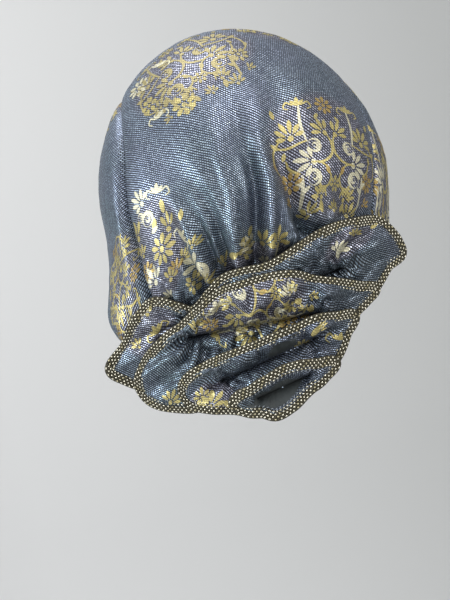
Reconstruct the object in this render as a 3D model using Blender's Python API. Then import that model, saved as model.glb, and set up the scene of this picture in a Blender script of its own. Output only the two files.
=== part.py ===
"""A pull-on turban with a puffed crown gathered at the nape and four leaf-shaped ruffles below it.

Every length below is in millimetres and becomes metres when a mesh is made. +X is the wearer's
right, +Y is the way the wearer faces, +Z is up, and the origin is the middle of the head opening.
Each piece of cloth is one open sheet, worked out by functions from the sizes and short tables
below, and a Solidify modifier gives it its wall.
"""

import math

import bpy
import numpy as np

MM = 0.001

# Cloth walls, and the small gap that sewn pieces keep
CROWN_WALL = 1.6
RUFFLE_WALL = 1.4
SEWN_GAP = 0.5

# Woven edge trim of the ruffles
TRIM_WIDTH = 6.0
TRIM_THICKNESS = 2.2
TRIM_GAP = 1.3
TRIM_SIDES = 6

# Smooth outer form of the crown, measured from its centre
CROWN_CENTRE = np.array((-1.0, -4.0, 39.0))
CROWN_HALF_WIDTH = 115.0
CROWN_BACK = 118.0
CROWN_FRONT = 110.0
CROWN_HEIGHT = 128.5
NAPE_DROP = 104.0
SIDE_DROP = 205.0
TOP_ROUNDNESS = 1.93
LOW_ROUNDNESS = 2.2

# The lower crown sits to the left of the upper crown
LEAN = 12.0
LEAN_START_RISE = 38.0
LEAN_RUN = 70.0

# Head opening: an oval that is high at the forehead, low at the nape and sags beside the ears
OPENING_HALF_WIDTH = 82.0
OPENING_HALF_LENGTH = 93.0
OPENING_RISE = 70.0
OPENING_EAR_SAG = 22.0
NAPE_HALF_ANGLE = math.radians(62.0)

# Dips of the crown panel and the bands along their sewn edges
SEAM_DIP_WIDTH = 9.0
GATHER_DIP = 5.0
GATHER_DIP_WIDTH = 12.0
FOLD_FREE_SEAM = 25.0
FOLD_FREE_GATHER = 0.08
SEWN_FOLD_SHARE = 0.3
RIM_TURN = 0.34
NAPE_FULLNESS = 2.0

# Middle axis of the flat map on which the crown panel is laid out: backwards and up
MAP_TILT = math.radians(35.0)
MAP_AXIS = np.array((0.0, -math.cos(MAP_TILT), math.sin(MAP_TILT)))
MAP_ACROSS = np.array((1.0, 0.0, 0.0))
MAP_UP = np.array((0.0, math.sin(MAP_TILT), math.cos(MAP_TILT)))

# Seam between the crown panel and the face band, from the left end of the gathers over the top
# to their right end, which are added to it below: across, ahead, rise
SEAM = (
    (-91, -68, -3),
    (-94, -67, 30),
    (-90, -68, 51),
    (-83, -68, 74),
    (-76, -58, 97),
    (-73, -41, 116),
    (-68, 0, 141),
    (-40, 20, 160),
    (0, 26, 168),
    (45, 20, 157),
    (80, -4, 129),
    (94, -26, 97),
    (99, -39, 64),
    (97, -49, 34),
    (90, -53, 9),
)
SEAM_LEFT_CORNER = 6
SEAM_RIGHT_CORNER = 12

# How deep the two pieces dip to the seam, along its length: share of the length, dip
SEAM_DIPS = (
    (0.0, 4),
    (0.1, 7),
    (0.3, 7),
    (0.42, 3),
    (0.8, 3),
    (1.0, 4),
)

# Gathered lower edge of the crown panel: across, rise
GATHER = (
    (-91, -38),
    (-62, -46),
    (-36, -33),
    (0, -26),
    (30, -22),
    (60, -17),
    (86, -20),
)

# Folds of the crown panel. Places run along the gathers (0 left, 1 right), heights from the
# gathers to the seam (0 to 1). A row is one fold: place at the gathers, place at the upper end, how
# late it bends to that (1 straight), height where it is deepest, height of the upper end, depth in
# (negative) or out (positive), half width as a share of the panel
FOLDS = (
    (0.200, 0.040, 1.8, 0.00, 0.42, -2.5, 0.034),
    (0.260, 0.130, 1.2, 0.00, 0.48, -3.5, 0.030),
    (0.300, 0.180, 1.0, 0.05, 0.46, 2.5, 0.030),
    (0.355, 0.200, 0.6, 0.05, 0.48, -6.0, 0.030),
    (0.390, 0.265, 0.7, 0.05, 0.46, 3.5, 0.028),
    (0.405, 0.440, 1.0, 0.15, 0.58, 3.0, 0.030),
    (0.460, 0.480, 1.0, 0.20, 0.72, -6.0, 0.038),
    (0.510, 0.545, 1.0, 0.15, 0.60, 4.5, 0.032),
    (0.715, 0.550, 2.0, 0.05, 0.52, -9.0, 0.030),
    (0.610, 0.590, 1.0, 0.45, 0.78, -3.5, 0.050),
    (0.760, 0.600, 2.0, 0.05, 0.45, 3.5, 0.030),
    (0.750, 0.660, 1.5, 0.00, 0.28, -3.0, 0.026),
    (0.920, 0.760, 1.5, 0.00, 0.28, -3.0, 0.030),
    (0.260, 0.200, 1.0, 0.55, 0.85, -2.5, 0.045),
)

# Fullness of the face band over the ears: place along the band (0 left end, 1 right end), height
# (0 seam, 1 rim), half sizes of the bulge along and up, and its push across, ahead and up
EAR_BULGES = (
    (0.055, 0.66, 0.075, 0.26, -13, 1, -10),
    (0.945, 0.66, 0.075, 0.26, 3, -2, -6),
)

# The back of the head as the ruffles wrap it: depth behind the origin in the middle, and how the
# surface bends forward to both sides
WRAP_MIDDLE = -12.0
WRAP_DEPTH = 100.0
WRAP_BEND = 60.0
WRAP_WIDTH = 70.0

# A ruffle lies this far outside the cloth under it: where it is sewn on, and elsewhere
SEAT = RUFFLE_WALL + 0.9
CLEARANCE = 3.4
REST_BLEND = 2.0
EDGE_FALL = 1.1

# Each ruffle: name, middle of its gather line (across, rise), slope of that line in degrees, its
# half length, sections round it, ripples round its edge and their depth, how late the cloth rises
# from the gathers (1 at once), and its edge table. An edge row is one section of the outer edge:
# across, rise, and how far it stands out from the gather line.
RUFFLES = (
    ("ruffle_1", (-12, -50), 8.0, 64, 56, 13, 1.0, 0.7, (
        (102, -44, 15), (103, -36, 18), (98, -23, 21), (90, -13, 18), (74, -10, 22), (60, -9, 18),
        (46, -10, 22), (31, -14, 18), (13, -20, 21), (-4, -24, 18), (-22, -23, 21), (-36, -24, 19),
        (-48, -31, 21), (-65, -41, 18), (-77, -35, 21), (-90, -28, 17), (-107, -36, 21),
        (-123, -55, 16), (-140, -70, 18), (-131, -82, 12), (-112, -93, 5), (-70, -92, 4),
        (-20, -84, 4), (30, -78, 4), (70, -67, 8), (90, -49, 14),
    )),
    ("ruffle_2", (-22, -65), -4.0, 50, 52, 11, 1.0, 0.5, (
        (75, -62, 15), (62, -57, 20), (47, -50, 25), (31, -43, 22), (16, -35, 26), (0, -32, 23),
        (-21, -32, 26), (-41, -33, 22), (-58, -41, 26), (-77, -51, 22), (-96, -61, 26),
        (-110, -71, 20), (-119, -83, 23), (-119, -97, 16), (-109, -107, 20), (-95, -113, 14),
        (-81, -116, 9), (-50, -108, 5), (0, -100, 5), (34, -90, 6), (55, -76, 11), (66, -69, 13),
    )),
    ("ruffle_3", (-19, -92), 10.0, 38, 44, 9, 0.8, 0.7, (
        (53, -76, 15), (38, -73, 21), (23, -70, 25), (9, -72, 21), (-9, -74, 25), (-29, -77, 22),
        (-47, -79, 25), (-65, -83, 21), (-81, -89, 24), (-88, -97, 18), (-86, -109, 14),
        (-73, -117, 16), (-55, -123, 11), (-37, -129, 9), (-10, -124, 6), (12, -114, 7),
        (32, -104, 11), (44, -88, 14),
    )),
    ("ruffle_4", (-14, -113), 10.0, 21, 40, 8, 0.6, 0.9, (
        (30, -105, 13), (16, -101, 18), (3, -98, 22), (-10, -98, 19), (-24, -102, 23),
        (-39, -107, 20), (-54, -114, 16), (-49, -123, 10), (-35, -129, 12), (-24, -134, 13),
        (-11, -131, 9), (6, -121, 12), (20, -114, 11),
    )),
)
RUFFLE_RINGS = (0.0, 0.12, 0.32, 0.56, 0.80, 1.0)

# Mesh sections, and the passes that even out the flat crown panel
CROWN_SECTIONS = (36, 20)
FLAT_PASSES = 400
BAND_SECTIONS = (44, 9)
NAPE_SECTIONS = (20, 5)

# Material name: colour, roughness, metallic
MATERIALS = {
    "lurex_blue": ((0.13, 0.18, 0.27, 1.0), 0.42, 0.55),
    "bead_trim": ((0.22, 0.18, 0.08, 1.0), 0.40, 0.60),
}


def smoothstep(t):
    t = np.clip(t, 0.0, 1.0)
    return t * t * (3.0 - 2.0 * t)


def bump(t):
    """1 in the middle, falling smoothly to 0 at -1 and 1."""
    return np.square(np.clip(1.0 - t * t, 0.0, 1.0))


def smooth_max(a, b, blend):
    return 0.5 * (a + b + np.sqrt(np.square(a - b) + blend * blend))


def unit(v):
    return v / np.maximum(np.linalg.norm(v, axis=-1, keepdims=True), 1e-9)


def curve(knots, rows, t):
    """A smooth curve through the rows, one at each knot, read at t."""
    knots = np.asarray(knots, float)
    rows = np.asarray(rows, float)
    slopes = np.empty_like(rows)
    slopes[1:-1] = ((rows[2:] - rows[:-2]).T / (knots[2:] - knots[:-2])).T
    slopes[0] = (rows[1] - rows[0]) / (knots[1] - knots[0])
    slopes[-1] = (rows[-1] - rows[-2]) / (knots[-1] - knots[-2])
    t = np.asarray(t, float)
    i = np.clip(np.searchsorted(knots, t, side="right") - 1, 0, len(knots) - 2)
    step = knots[i + 1] - knots[i]
    s = (t - knots[i]) / step
    if rows.ndim == 2:
        s, step = s[..., None], step[..., None]
    return (
        rows[i] * (1 + 2 * s) * (1 - s) ** 2
        + slopes[i] * step * s * (1 - s) ** 2
        + rows[i + 1] * s * s * (3 - 2 * s)
        + slopes[i + 1] * step * s * s * (s - 1)
    )


def lean(rise):
    return -LEAN * smoothstep((LEAN_START_RISE - rise) / LEAN_RUN)


def envelope(direction):
    """Distance from the crown's centre to its smooth outer form along unit directions."""
    x, y, z = np.moveaxis(direction, -1, 0)
    level = x * x + y * y
    sideways = x * x / np.maximum(level, 1e-9)
    length = np.where(y < 0, CROWN_BACK, CROWN_FRONT)
    drop = NAPE_DROP + (SIDE_DROP - NAPE_DROP) * sideways ** 1.5
    height = np.where(z > 0, CROWN_HEIGHT, drop)
    power = np.where(z > 0, TOP_ROUNDNESS, LOW_ROUNDNESS)
    flat = np.hypot(x / CROWN_HALF_WIDTH, y / length)
    return (flat ** power + (np.abs(z) / height) ** power) ** (-1.0 / power)


def placed(direction, radius):
    """Points of the crown at this distance along these directions, with its lean."""
    point = CROWN_CENTRE + direction * radius[..., None]
    point[..., 0] += lean(point[..., 2])
    return point


def direction_of(point):
    """The direction from the crown's centre that leads to a point, without the lean."""
    point = np.array(point, float)
    point[..., 0] -= lean(point[..., 2])
    return unit(point - CROWN_CENTRE)


def to_map(direction):
    """Directions laid flat: the distance from the map's middle is the angle from its axis."""
    angle = np.arccos(np.clip(direction @ MAP_AXIS, -1.0, 1.0))
    flat = np.stack([direction @ MAP_ACROSS, direction @ MAP_UP], axis=-1)
    return unit(flat) * angle[..., None]


def from_map(flat):
    angle = np.linalg.norm(flat, axis=-1, keepdims=True)
    aside = flat[..., :1] * MAP_ACROSS + flat[..., 1:] * MAP_UP
    return MAP_AXIS * np.cos(angle) + aside * np.sinc(angle / np.pi)


def back_of_crown(across, rise):
    """Depth of the crown's smooth form behind the origin, over places seen from behind."""
    x = across - lean(rise) - CROWN_CENTRE[0]
    z = rise - CROWN_CENTRE[2]
    y = np.full(np.broadcast(x, z).shape, -CROWN_BACK)
    for _ in range(12):
        direction = unit(np.stack(np.broadcast_arrays(x, y, z), axis=-1))
        y = 0.5 * (y - np.sqrt(np.maximum(envelope(direction) ** 2 - x * x - z * z, 1.0)))
    return -(y + CROWN_CENTRE[1])


def gather_point(share):
    """The gather line in space, at a share of its width from the left."""
    across = GATHER[0][0] + (GATHER[-1][0] - GATHER[0][0]) * share
    rise = curve([row[0] for row in GATHER], [row[1] for row in GATHER], across)
    depth = back_of_crown(across, rise) - GATHER_DIP
    return np.stack([across, -depth, rise], axis=-1)


SEAM_ENDS = gather_point(np.array((0.0, 1.0)))
SEAM_FLAT = to_map(direction_of(np.concatenate([SEAM_ENDS[:1], SEAM, SEAM_ENDS[1:]])))
SEAM_STEPS = np.linalg.norm(np.diff(SEAM_FLAT, axis=0), axis=1)
SEAM_KNOTS = np.concatenate([[0.0], np.cumsum(SEAM_STEPS)]) / SEAM_STEPS.sum()


def seam(share):
    """The seam on the flat map, at a share of its length from its left end."""
    return curve(SEAM_KNOTS, SEAM_FLAT, share)


def seam_dip(share, distance):
    """How far the cloth dips at a distance from the seam."""
    places, dips = np.transpose(SEAM_DIPS)
    return np.interp(share, places, dips) * np.exp(-((distance / SEAM_DIP_WIDTH) ** 2))


def opening_point(angle):
    """The edge of the head opening, at an angle round it from the nape, positive to the right."""
    rise = -OPENING_RISE * np.cos(angle) - OPENING_EAR_SAG * np.sin(angle) ** 2
    across = OPENING_HALF_WIDTH * np.sin(angle)
    return np.stack([across, -OPENING_HALF_LENGTH * np.cos(angle), rise], axis=-1)


def fold_depth(u, v, folds):
    """How far the folds of a table push the crown panel in or out."""
    depth = np.zeros(np.broadcast(u, v).shape)
    for low, high, bend, deepest, end, push, half_width in folds:
        middle = high + (low - high) * np.clip(1.0 - v / end, 0.0, 1.0) ** bend
        along = bump((v - deepest) / (end - deepest))
        depth += push * along * bump((u - middle) / (2.2 * half_width))
    return depth * (SEWN_FOLD_SHARE + (1.0 - SEWN_FOLD_SHARE) * smoothstep(v / FOLD_FREE_GATHER))


def flat_panel():
    """The crown panel laid flat: a grid of points between its four edges, evened out."""
    across = np.linspace(0.0, 1.0, CROWN_SECTIONS[0] + 1)
    up = np.linspace(0.0, 1.0, CROWN_SECTIONS[1] + 1)
    left_corner = SEAM_KNOTS[SEAM_LEFT_CORNER]
    right_corner = SEAM_KNOTS[SEAM_RIGHT_CORNER]
    low = to_map(direction_of(gather_point(across)))
    high = seam(left_corner + (right_corner - left_corner) * across)
    left = seam(left_corner * up)
    right = seam(1.0 - (1.0 - right_corner) * up)
    grid = left[:, None] + (right - left)[:, None] * across[None, :, None]
    grid[0] = low
    grid[-1] = high
    for _ in range(FLAT_PASSES):
        beside = grid[1:-1, :-2] + grid[1:-1, 2:] + grid[:-2, 1:-1] + grid[2:, 1:-1]
        grid[1:-1, 1:-1] = 0.25 * beside
    return grid


FLAT_PANEL = flat_panel()


def spline_weights(s):
    """Weights of four neighbours for a smooth curve between the middle two."""
    return 0.5 * np.stack([
        -s + 2 * s * s - s ** 3,
        2 - 5 * s * s + 3 * s ** 3,
        s + 4 * s * s - 3 * s ** 3,
        s ** 3 - s * s,
    ])


def on_flat_panel(u, v):
    """The place on the flat map of a place on the crown panel."""
    rows, columns = FLAT_PANEL.shape[0] - 1, FLAT_PANEL.shape[1] - 1
    padded = np.pad(FLAT_PANEL, ((1, 1), (1, 1), (0, 0)), mode="reflect", reflect_type="odd")
    i = np.clip(np.floor(u * columns).astype(int), 0, columns - 1)
    j = np.clip(np.floor(v * rows).astype(int), 0, rows - 1)
    sideways = spline_weights(u * columns - i)
    upward = spline_weights(v * rows - j)
    return sum(
        (upward[n] * sideways[m])[..., None] * padded[j + n, i + m]
        for n in range(4) for m in range(4)
    )


def crown_surface(u, v):
    """The crown panel: u runs along the gathers from left to right, v from them up to the seam."""
    flat = on_flat_panel(u, v)
    direction = from_map(flat * (1.0 - SEWN_GAP / CROWN_BACK))
    radius = envelope(direction)
    left_corner = SEAM_KNOTS[SEAM_LEFT_CORNER]
    right_corner = SEAM_KNOTS[SEAM_RIGHT_CORNER]
    shares = (
        left_corner + (right_corner - left_corner) * u,
        left_corner * v,
        1.0 - (1.0 - right_corner) * v,
    )
    distances = [radius * np.linalg.norm(flat - seam(share), axis=-1) for share in shares]
    dips = [seam_dip(share, distance) for share, distance in zip(shares, distances)]
    low = to_map(direction_of(gather_point(u)))
    from_gather = radius * np.linalg.norm(flat - low, axis=-1)
    from_seam = np.minimum.reduce(distances)
    radius = radius - np.maximum.reduce(dips)
    radius = radius - GATHER_DIP * np.exp(-((from_gather / GATHER_DIP_WIDTH) ** 2))
    radius = radius + fold_depth(u, v, FOLDS) * smoothstep(from_seam / FOLD_FREE_SEAM)
    return placed(direction, radius)


def band_surface(u, v):
    """The face band: u runs from its left end over the forehead to its right end, v from the seam
    to the edge of the head opening, round which the cloth turns in."""
    start = from_map(seam(u))
    angle = -NAPE_HALF_ANGLE - (2.0 * math.pi - 2.0 * NAPE_HALF_ANGLE) * u
    edge = opening_point(angle)
    end = unit(edge - CROWN_CENTRE)
    turn = np.arccos(np.clip((start * end).sum(axis=-1), -1.0, 1.0))
    near = np.sin((1.0 - v) * turn) / np.sin(turn)
    far = np.sin(v * turn) / np.sin(turn)
    direction = unit(start * near[..., None] + end * far[..., None])
    radius = envelope(direction)
    radius = radius - seam_dip(u, radius * turn * v)
    point = placed(direction, radius)
    tuck = np.clip((v - 1.0 + RIM_TURN) / RIM_TURN, 0.0, 1.0)
    inward = 1.0 - np.sqrt(np.clip(1.0 - tuck ** 2.4, 0.0, 1.0))
    point = point + (edge - point) * inward[..., None]
    for place, height, along, up, across, ahead, rise in EAR_BULGES:
        weight = bump((u - place) / (1.6 * along)) * bump((v - height) / (1.6 * up))
        point = point + weight[..., None] * np.array((across, ahead, rise))
    return point


def nape_edge(u):
    """The nape's part of the head opening, from left to right."""
    return opening_point(np.arcsin(math.sin(NAPE_HALF_ANGLE) * (2.0 * u - 1.0)))


def nape_surface(u, v):
    """The nape band: u from left to right, v from the gathers down to the head opening."""
    top = gather_point(u)
    point = top + (nape_edge(u) - top) * v[..., None]
    point[..., 1] -= NAPE_FULLNESS * np.sin(math.pi * v)
    return point


def back_of_nape(across, rise):
    """Depth of the nape band behind the origin, over places seen from behind."""
    left = GATHER[0][0], nape_edge(np.array(0.0))[0]
    width = GATHER[-1][0] - GATHER[0][0], 2.0 * OPENING_HALF_WIDTH * math.sin(NAPE_HALF_ANGLE)
    v = np.full(np.broadcast(across, rise).shape, 0.5)
    for _ in range(6):
        start = left[0] + (left[1] - left[0]) * v
        u = np.clip((across - start) / (width[0] + (width[1] - width[0]) * v), 0.0, 1.0)
        top, edge = gather_point(u), nape_edge(u)
        v = np.clip((top[..., 2] - rise) / (top[..., 2] - edge[..., 2]), 0.0, 1.0)
    return NAPE_FULLNESS - (top[..., 1] + (edge[..., 1] - top[..., 1]) * v)


def back_of_head(across):
    """Depth of the form that the ruffles bend round."""
    aside = (across - WRAP_MIDDLE) / WRAP_WIDTH
    return WRAP_DEPTH - WRAP_BEND * (np.sqrt(1.0 + aside * aside) - 1.0)


class Ruffle:
    """A leaf of cloth gathered along a line in its middle. A place on it is an angle round the
    gather line and a reach, 0 on that line and 1 at the outer edge of the trim."""

    def __init__(self, row, under):
        self.name, middle, slope, self.half, self.sections = row[:5]
        self.ripples, self.ripple_depth, self.lateness, edge = row[5:]
        self.under = under
        self.middle = complex(*middle)
        self.slope = np.exp(1j * math.radians(slope))
        edge = np.array(edge, float)
        place = self.flat_place(edge[:, 0], edge[:, 1])
        order = np.argsort(place.imag)
        angle = place.imag[order]
        values = np.stack([place.real[order], edge[order, 2]], axis=-1)
        turn = 2.0 * math.pi
        self.angles = np.concatenate([angle[-3:] - turn, angle, angle[:3] + turn])
        self.values = np.concatenate([values[-3:], values, values[:3]])
        self.spine_angles = np.linspace(0.0, math.pi, 33)
        at = self.flat_point(self.spine_angles, 0.0 * self.spine_angles)
        self.spine_depths = under(at.real, at.imag) + SEAT

    def flat_place(self, across, rise):
        """Elliptic place round the gather line: how far out, and the angle as its imaginary part."""
        flat = (across + 1j * rise - self.middle) / self.slope / self.half
        return np.arccosh(flat + 1e-9j)

    def flat_point(self, angle, out):
        return np.cosh(out + 1j * angle) * self.half * self.slope + self.middle

    def edge(self, angle):
        """How far out the edge lies at an angle, and how far it stands out."""
        return np.moveaxis(curve(self.angles, self.values, angle), -1, 0)

    def reach_inside(self, angle, distance):
        """The reach at a distance inside the edge."""
        out, _ = self.edge(angle)
        inner = out
        for _ in range(3):
            spread = self.half * np.abs(np.sinh(0.5 * (out + inner) + 1j * angle))
            inner = out - distance / spread
        return inner / out

    def edge_frame(self, angle):
        """Middle line of the trim on the outer face, with the ways outward and off the cloth."""
        edge = self.points(angle, self.reach_inside(angle, 0.0))
        inner = self.points(angle, self.reach_inside(angle, TRIM_WIDTH))
        outward = unit(edge - inner)
        outward = unit(np.roll(outward, 1, axis=0) + outward + np.roll(outward, -1, axis=0))
        middle = edge - outward * 0.5 * TRIM_WIDTH
        along = unit(np.roll(middle, -1, axis=0) - np.roll(middle, 1, axis=0))
        normal = unit(np.cross(along, outward))
        normal = normal * np.where(normal[:, 1] > 0.0, -1.0, 1.0)[:, None]
        return middle, outward, normal

    def back(self, across, rise):
        """Depth of the ruffle's outer face behind the origin, falling away past its edge."""
        place = self.flat_place(across, rise)
        out, stand = self.edge(place.imag)
        reach = place.real / out
        within = np.clip(reach, 0.0, 1.0)
        foot = self.flat_point(place.imag, 0.0 * out)
        rim = self.flat_point(place.imag, np.minimum(place.real, out))
        depth = np.interp(np.abs(place.imag), self.spine_angles, self.spine_depths)
        depth = depth + back_of_head(rim.real) - back_of_head(foot.real)
        depth = depth + stand * np.sin(0.5 * math.pi * within) ** self.lateness
        depth = depth + self.ripple_depth * within ** 2 * np.cos(self.ripples * place.imag)
        beyond = np.abs(across + 1j * rise - rim) * (reach > 1.0)
        rest = self.under(across, rise) + SEAT + (CLEARANCE - SEAT) * smoothstep(within * 3.0)
        return smooth_max(depth - EDGE_FALL * beyond, rest, REST_BLEND * within)

    def points(self, angle, reach):
        out, _ = self.edge(angle)
        flat = self.flat_point(angle, out * reach)
        return np.stack([flat.real, -self.back(flat.real, flat.imag), flat.imag], axis=-1)


def shell_back(across, rise):
    """Depth of the crown and the nape band together."""
    return np.maximum(back_of_crown(across, rise), back_of_nape(across, rise))


def make_material(name):
    colour, roughness, metallic = MATERIALS[name]
    material = bpy.data.materials.new(name)
    material.use_nodes = True
    shader = material.node_tree.nodes["Principled BSDF"]
    shader.inputs["Base Color"].default_value = colour
    shader.inputs["Roughness"].default_value = roughness
    shader.inputs["Metallic"].default_value = metallic
    material.diffuse_color = colour
    return material


def make_object(name, points, faces, material, outward):
    """A mesh object from points in millimetres. The faces are turned so that the sheet faces the
    way that outward gives for its first point."""
    points = np.asarray(points, float).reshape(-1, 3)
    first = faces[0]
    normal = np.cross(points[first[1]] - points[first[0]], points[first[2]] - points[first[0]])
    if normal @ outward < 0:
        faces = [face[::-1] for face in faces]
    mesh = bpy.data.meshes.new(name)
    mesh.from_pydata((points * MM).tolist(), [], faces)
    mesh.materials.append(material)
    mesh.shade_smooth()
    piece = bpy.data.objects.new(name, mesh)
    bpy.context.scene.collection.objects.link(piece)
    return piece


def give_wall(piece, wall):
    modifier = piece.modifiers.new("wall", "SOLIDIFY")
    modifier.thickness = wall * MM
    modifier.offset = -1.0


def make_sheet(name, surface, sections, trims, wall, outward, material):
    """A rectangular patch of a surface. trims are the gaps left at its four edges, as shares."""
    left, right, low, high = trims
    across = np.linspace(left, 1.0 - right, sections[0] + 1)
    up = np.linspace(low, 1.0 - high, sections[1] + 1)
    u, v = np.meshgrid(across, up)
    points = surface(u, v)
    row = sections[0] + 1
    faces = [
        (j * row + i, j * row + i + 1, (j + 1) * row + i + 1, (j + 1) * row + i)
        for j in range(sections[1])
        for i in range(sections[0])
    ]
    piece = make_object(name, points, faces, material, outward)
    give_wall(piece, wall)


def make_ruffle(ruffle, material):
    """Rings of points round the gather line. The first ring is the line itself, where the points
    of its two sides are one."""
    count = ruffle.sections
    angle = -math.pi + 2.0 * math.pi * np.arange(count) / count
    cloth = ruffle.reach_inside(angle, TRIM_WIDTH + TRIM_GAP)
    middle, outward, _ = ruffle.edge_frame(angle)
    half = count // 2
    rings = [ruffle.points(angle[: half + 1], np.zeros(half + 1))]
    rings += [ruffle.points(angle, cloth * share) for share in RUFFLE_RINGS[1:-1]]
    rings.append(middle - outward * (0.5 * TRIM_WIDTH + TRIM_GAP))
    spine = [min(i, count - i) for i in range(count)]
    index = [spine] + [[half + 1 + ring * count + i for i in range(count)]
                       for ring in range(len(rings) - 1)]
    faces = []
    for inner, outer in zip(index, index[1:]):
        for i in range(count):
            k = (i + 1) % count
            faces.append((inner[i], inner[k], outer[k], outer[i]))
    piece = make_object(ruffle.name, np.concatenate(rings), faces, material, (0.0, -1.0, 0.0))
    give_wall(piece, RUFFLE_WALL)


def make_trim(ruffle, name, material):
    """An oval braid along the ruffle's edge, lying in the plane of the cloth."""
    count = ruffle.sections
    angle = -math.pi + 2.0 * math.pi * np.arange(count) / count
    middle, outward, normal = ruffle.edge_frame(angle)
    middle = middle - normal * 0.5 * RUFFLE_WALL
    points = []
    for side in range(TRIM_SIDES):
        turn = 2.0 * math.pi * side / TRIM_SIDES
        points.append(
            middle
            + outward * 0.5 * TRIM_WIDTH * math.cos(turn)
            + normal * 0.5 * TRIM_THICKNESS * math.sin(turn) / math.sin(math.pi / 3.0)
        )
    points = np.stack(points, axis=1).reshape(-1, 3)
    faces = []
    for i in range(count):
        for side in range(TRIM_SIDES):
            k, after = (i + 1) % count, (side + 1) % TRIM_SIDES
            faces.append((
                i * TRIM_SIDES + side, i * TRIM_SIDES + after,
                k * TRIM_SIDES + after, k * TRIM_SIDES + side,
            ))
    make_object(name, points, faces, material, outward[0])


def build_ruffles():
    """Each ruffle lies on the one before it, and the first on the crown and the nape band."""
    under = shell_back
    ruffles = []
    for row in RUFFLES:
        ruffle = Ruffle(row, under)
        ruffles.append(ruffle)
        under = ruffle.back
    return ruffles


def main():
    for old in list(bpy.data.objects):
        bpy.data.objects.remove(old)
    lurex = make_material("lurex_blue")
    braid = make_material("bead_trim")
    back = (0.0, -1.0, 0.0)
    make_sheet("crown_panel", crown_surface, CROWN_SECTIONS, (0.0, 0.0, 0.0, 0.0), CROWN_WALL, back, lurex)
    make_sheet("front_band", band_surface, BAND_SECTIONS, (0.004, 0.004, 0.006, 0.0),
               CROWN_WALL, (-1.0, 0.0, 0.0), lurex)
    make_sheet("nape_band", nape_surface, NAPE_SECTIONS, (0.006, 0.006, 0.02, 0.0),
               CROWN_WALL, back, lurex)
    for number, ruffle in enumerate(build_ruffles(), start=1):
        make_ruffle(ruffle, lurex)
        make_trim(ruffle, "trim_%d" % number, braid)


main()
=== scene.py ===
"""Looks of the pull-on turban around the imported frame. The cloth follows the same functions as the
solids, in millimetres, with finer folds, and becomes metres when a mesh is made."""

import math

import bpy
import numpy as np
from mathutils import Matrix, Vector, noise
from mathutils.bvhtree import BVHTree
from mathutils.interpolate import poly_3d_calc


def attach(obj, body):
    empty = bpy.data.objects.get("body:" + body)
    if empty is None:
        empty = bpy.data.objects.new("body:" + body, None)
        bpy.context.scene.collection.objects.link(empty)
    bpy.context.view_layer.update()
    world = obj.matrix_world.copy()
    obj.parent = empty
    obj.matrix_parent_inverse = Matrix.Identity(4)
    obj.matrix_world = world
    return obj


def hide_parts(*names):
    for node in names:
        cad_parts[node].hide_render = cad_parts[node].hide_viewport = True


MM = 0.001

# Wall of the ruffles' cloth, and the small gap that sewn pieces keep
RUFFLE_WALL = 1.4
SEWN_GAP = 0.5

# Width of the woven edge trim of the ruffles
TRIM_WIDTH = 6.0

# Smooth outer form of the crown, measured from its centre
CROWN_CENTRE = np.array((-1.0, -4.0, 39.0))
CROWN_HALF_WIDTH = 115.0
CROWN_BACK = 118.0
CROWN_FRONT = 110.0
CROWN_HEIGHT = 128.5
NAPE_DROP = 104.0
SIDE_DROP = 205.0
TOP_ROUNDNESS = 1.93
LOW_ROUNDNESS = 2.2

# The lower crown sits to the left of the upper crown
LEAN = 12.0
LEAN_START_RISE = 38.0
LEAN_RUN = 70.0

# Head opening: an oval that is high at the forehead, low at the nape and sags beside the ears
OPENING_HALF_WIDTH = 82.0
OPENING_HALF_LENGTH = 93.0
OPENING_RISE = 70.0
OPENING_EAR_SAG = 22.0
NAPE_HALF_ANGLE = math.radians(62.0)

# Dips of the crown panel and the bands along their sewn edges
SEAM_DIP_WIDTH = 9.0
GATHER_DIP = 5.0
GATHER_DIP_WIDTH = 12.0
FOLD_FREE_SEAM = 25.0
FOLD_FREE_GATHER = 0.08
SEWN_FOLD_SHARE = 0.3
RIM_TURN = 0.34
NAPE_FULLNESS = 2.0

# Middle axis of the flat map on which the crown panel is laid out: backwards and up
MAP_TILT = math.radians(35.0)
MAP_AXIS = np.array((0.0, -math.cos(MAP_TILT), math.sin(MAP_TILT)))
MAP_ACROSS = np.array((1.0, 0.0, 0.0))
MAP_UP = np.array((0.0, math.sin(MAP_TILT), math.cos(MAP_TILT)))

# Seam between the crown panel and the face band, from the left end of the gathers over the top
# to their right end, which are added to it below: across, ahead, rise
SEAM = (
    (-91, -68, -3), (-94, -67, 30), (-90, -68, 51), (-83, -68, 74), (-76, -58, 97),
    (-73, -41, 116), (-68, 0, 141), (-40, 20, 160), (0, 26, 168), (45, 20, 157), (80, -4, 129),
    (94, -26, 97), (99, -39, 64), (97, -49, 34), (90, -53, 9),
)
SEAM_LEFT_CORNER = 6
SEAM_RIGHT_CORNER = 12

# How deep the two pieces dip to the seam, along its length: share of the length, dip
SEAM_DIPS = (
    (0.0, 4), (0.1, 7), (0.3, 7), (0.42, 3), (0.8, 3), (1.0, 4),
)

# Gathered lower edge of the crown panel: across, rise
GATHER = (
    (-91, -38), (-62, -46), (-36, -33), (0, -26), (30, -22), (60, -17), (86, -20),
)

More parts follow.
